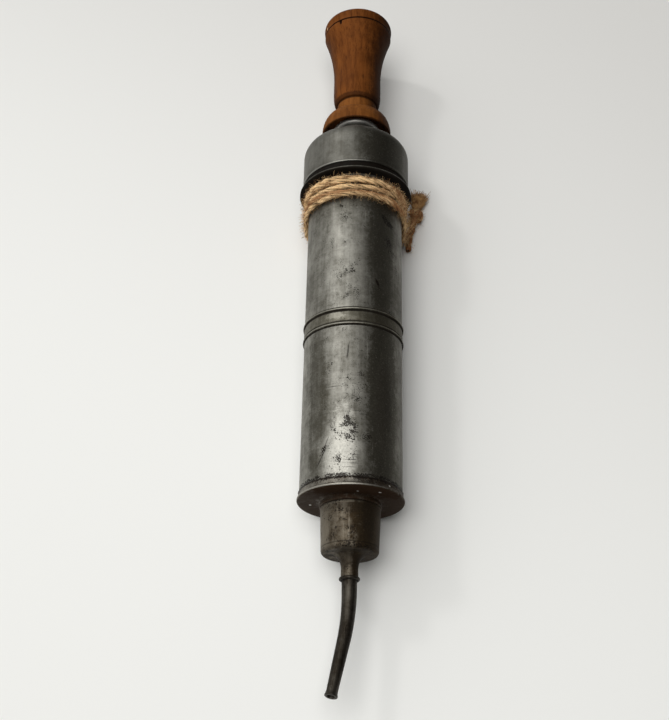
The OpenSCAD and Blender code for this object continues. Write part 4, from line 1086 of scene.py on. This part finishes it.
# Twine knot and its two ends
# An overhand knot ties the two ends together beside the barrel. One end is frayed out like a brush
# towards the handle, the other lies in the shade of the barrel towards the nozzle. The knot's colour is
# handled jute darkened with painted shade, and the lower end's dark colour is painted shade.
# Knot colours: handled jute, darkened as painted shade; lower end colours: painted shade.
HANDLED_SHADE_STRAW, HANDLED_SHADE_BROWN = (0.36, 0.20, 0.085, 1), (0.12, 0.05, 0.018, 1)
SHADED_STRAW, SHADED_BROWN = (0.20, 0.095, 0.038, 1), (0.06, 0.024, 0.009, 1)
FRAYED_STRAW, FRAYED_BROWN = (0.56, 0.33, 0.14, 1), (0.17, 0.075, 0.026, 1)
KNOT_AT = (38.8, 7, 5)
KNOT_STEPS = 80
KNOT_SIZE = Vector((1.2, 1.4, 1.3))
BRUSH_ROOT = (38.9, 10.5, 5)
LOWER_END = [(38, 6, 4.6), (37.4, 3, 4), (36.2, -3, 3.2), (34.8, -10, 2.8), (34, -18, 2.8)]
BRUSH_FIBRES, FIBRE_STEPS = 900, 6
FIBRE_RADIUS, FIBRE_LOWEST = 0.11, 0.6
knot_finish = jute_finish("handled_shaded_jute", HANDLED_SHADE_STRAW, HANDLED_SHADE_BROWN)
knot_centre = by_collar(*KNOT_AT)
knot_route = []
for i in range(KNOT_STEPS + 1):
    t = radians(20 + 670 * i / KNOT_STEPS)
    tight = 1.0 - 0.2 * i / KNOT_STEPS
    loop = Vector((cos(t) + 2 * cos(2 * t), sin(t) - 2 * sin(2 * t), -1.5 * sin(3 * t)))
    knot_route.append(knot_centre + loop * KNOT_SIZE * MM * tight)
knot_mesh = twine_mesh("tied_knot", knot_route, knot_finish, 2.0, 0.4, 1.22)
knot = show_piece("tied_knot", knot_mesh, "barrel", "jute", "twine_knot")
tail_finish = jute_finish("shaded_jute", SHADED_STRAW, SHADED_BROWN)
tail_mesh = twine_mesh("lower_twine_end", [by_collar(*p) for p in LOWER_END], tail_finish, 3.0, 1.0, 1.3)
lower_end = show_piece("lower_twine_end", tail_mesh, "barrel", "jute", "twine_lower_tail")

# Loose fibres: each line of points becomes one thin strand
fraying, given, result = new_tree("Loose Fibres", "GeometryNodeTree", {
    "Lines": "Geometry", "Fibre Radius": "Float", "Finish": "Material"}, {"Fibres": "Geometry"})
lines = step("GeometryNodeMeshToCurve", {"Mesh": given["Lines"]})
section = step("GeometryNodeCurvePrimitiveCircle", {"Resolution": 3, "Radius": given["Fibre Radius"]})
end_tree(given, result, step("GeometryNodeCurveToMesh", {"Curve": lines, "Profile Curve": section}))


def fibre_finish(name, straw, brown):
    """Single jute fibres in two tones."""
    finish, tree, shader = new_finish(name)
    tone = ramp(noise(object_place(tree), 300.0), 0.36, 0.66)
    feed(shader, {"Base Color": blend(tone, brown, straw), "Roughness": 0.8, "Specular IOR Level": 0.2})
    return finish


brush_finish = fibre_finish("frayed_jute", FRAYED_STRAW, FRAYED_BROWN)
fray = random.Random(31)
points, edges = [], []
brush_root = by_collar(*BRUSH_ROOT)
for _ in range(BRUSH_FIBRES):
    fan = fray.uniform(-1, 1)
    root = brush_root + Vector((1.4 * fan, fray.uniform(-3, 1.5), fray.uniform(-1.5, 1.5))) * MM
    way = Vector((0.16 + 0.17 * fan + fray.gauss(0, 0.06), 1, fray.gauss(-0.03, 0.12))).normalized()
    long, curl = fray.uniform(10, 17), fray.gauss(0, 0.03)
    edges += [(len(points) + i, len(points) + i + 1) for i in range(FIBRE_STEPS)]
    for i in range(FIBRE_STEPS + 1):
        along = long * i / FIBRE_STEPS
        point = root + (way * along + Vector((curl * along * along / 4, 0, -0.010 * along * along))) * MM
        points.append(Vector((point.x, point.y, max(point.z, FIBRE_LOWEST * MM))))
brush_lines = bpy.data.meshes.new("frayed_twine_end")
brush_lines.from_pydata(points, edges, [])
brush_mesh = plain_mesh(brush_lines, fraying, {"Fibre Radius": FIBRE_RADIUS * MM, "Finish": brush_finish})
upper_end = show_piece("frayed_twine_end", brush_mesh, "barrel", "jute", "twine_upper_tail")

# Twine fuzz
# Short loose hairs that stand off the jute along the turns, the knot and the lower end. They start
# clear of the table.
HAIR_LENGTH = 3.8
HAIR_RADIUS_SHARE = 0.018
HAIRS_PER_SQ_M = 600000.0
HAIRS_ABOVE = 3.2
HAIR_LEAN = 0.7
fuzzing, given, result = new_tree("Twine Fuzz", "GeometryNodeTree", {
    "Twine": "Geometry", "Hairs per Square Metre": "Float", "Hair Length": "Float", "Hair Radius": "Float",
    "Clear Height": "Float", "Seed": "Int", "Finish": "Material"}, {"Fuzz": "Geometry"})
here = put(fuzzing, "GeometryNodeInputPosition").outputs["Position"]
height = put(fuzzing, "ShaderNodeSeparateXYZ", {"Vector": here}).outputs["Z"]
clear = calc("GREATER_THAN", height, given["Clear Height"])
roots = put(fuzzing, "GeometryNodeDistributePointsOnFaces", {
    "Mesh": given["Twine"], "Selection": clear, "Density": given["Hairs per Square Metre"],
    "Seed": given["Seed"]}).outputs
bow = put(fuzzing, "GeometryNodeCurveQuadraticBezier", {
    "Resolution": 3, "Start": (0, 0, 0), "Middle": (0.15, 0.05, 0.55),
    "End": (0.60, 0.1, 0.80)}).outputs["Curve"]
tip = step("GeometryNodeCurvePrimitiveCircle", {"Resolution": 3, "Radius": given["Hair Radius"]}, "Curve")
hair = step("GeometryNodeCurveToMesh", {"Curve": bow, "Profile Curve": tip})
stand = step("FunctionNodeAlignRotationToVector", {"Vector": roots["Normal"]}, axis="Z")
spin = step("FunctionNodeRandomValue", {
    "Min": (-HAIR_LEAN, -HAIR_LEAN, 0), "Max": (HAIR_LEAN, HAIR_LEAN, 2 * pi), "Seed": given["Seed"]},
    data_type="FLOAT_VECTOR")
spin = step("FunctionNodeEulerToRotation", {"Euler": spin})
stand = step("FunctionNodeRotateRotation", {"Rotation": stand, "Rotate By": spin}, rotation_space="LOCAL")
some = step("FunctionNodeRandomValue", {2: 0.2, 3: 1.0, "Seed": given["Seed"]}, 1, data_type="FLOAT")
end_tree(given, result, step("GeometryNodeInstanceOnPoints", {
    "Points": roots["Points"], "Instance": hair, "Rotation": stand,
    "Scale": calc("MULTIPLY", some, given["Hair Length"])}))
hair_finish = fibre_finish("loose_jute", JUTE_STRAW, JUTE_BROWN)
shape = bmesh.new()
for seed, piece in enumerate((twine_turns, knot, lower_end)):
    shape.from_mesh(plain_mesh(piece.data.copy(), fuzzing, {
        "Hairs per Square Metre": HAIRS_PER_SQ_M, "Hair Length": HAIR_LENGTH * MM,
        "Hair Radius": HAIR_RADIUS_SHARE, "Clear Height": HAIRS_ABOVE * MM, "Seed": seed,
        "Finish": hair_finish}))
fuzz_mesh = bpy.data.meshes.new("twine_fuzz")
shape.to_mesh(fuzz_mesh)
shape.free()
fuzz_mesh.materials.append(hair_finish)
twine_fuzz = show_piece("twine_fuzz", fuzz_mesh, "barrel", "jute")
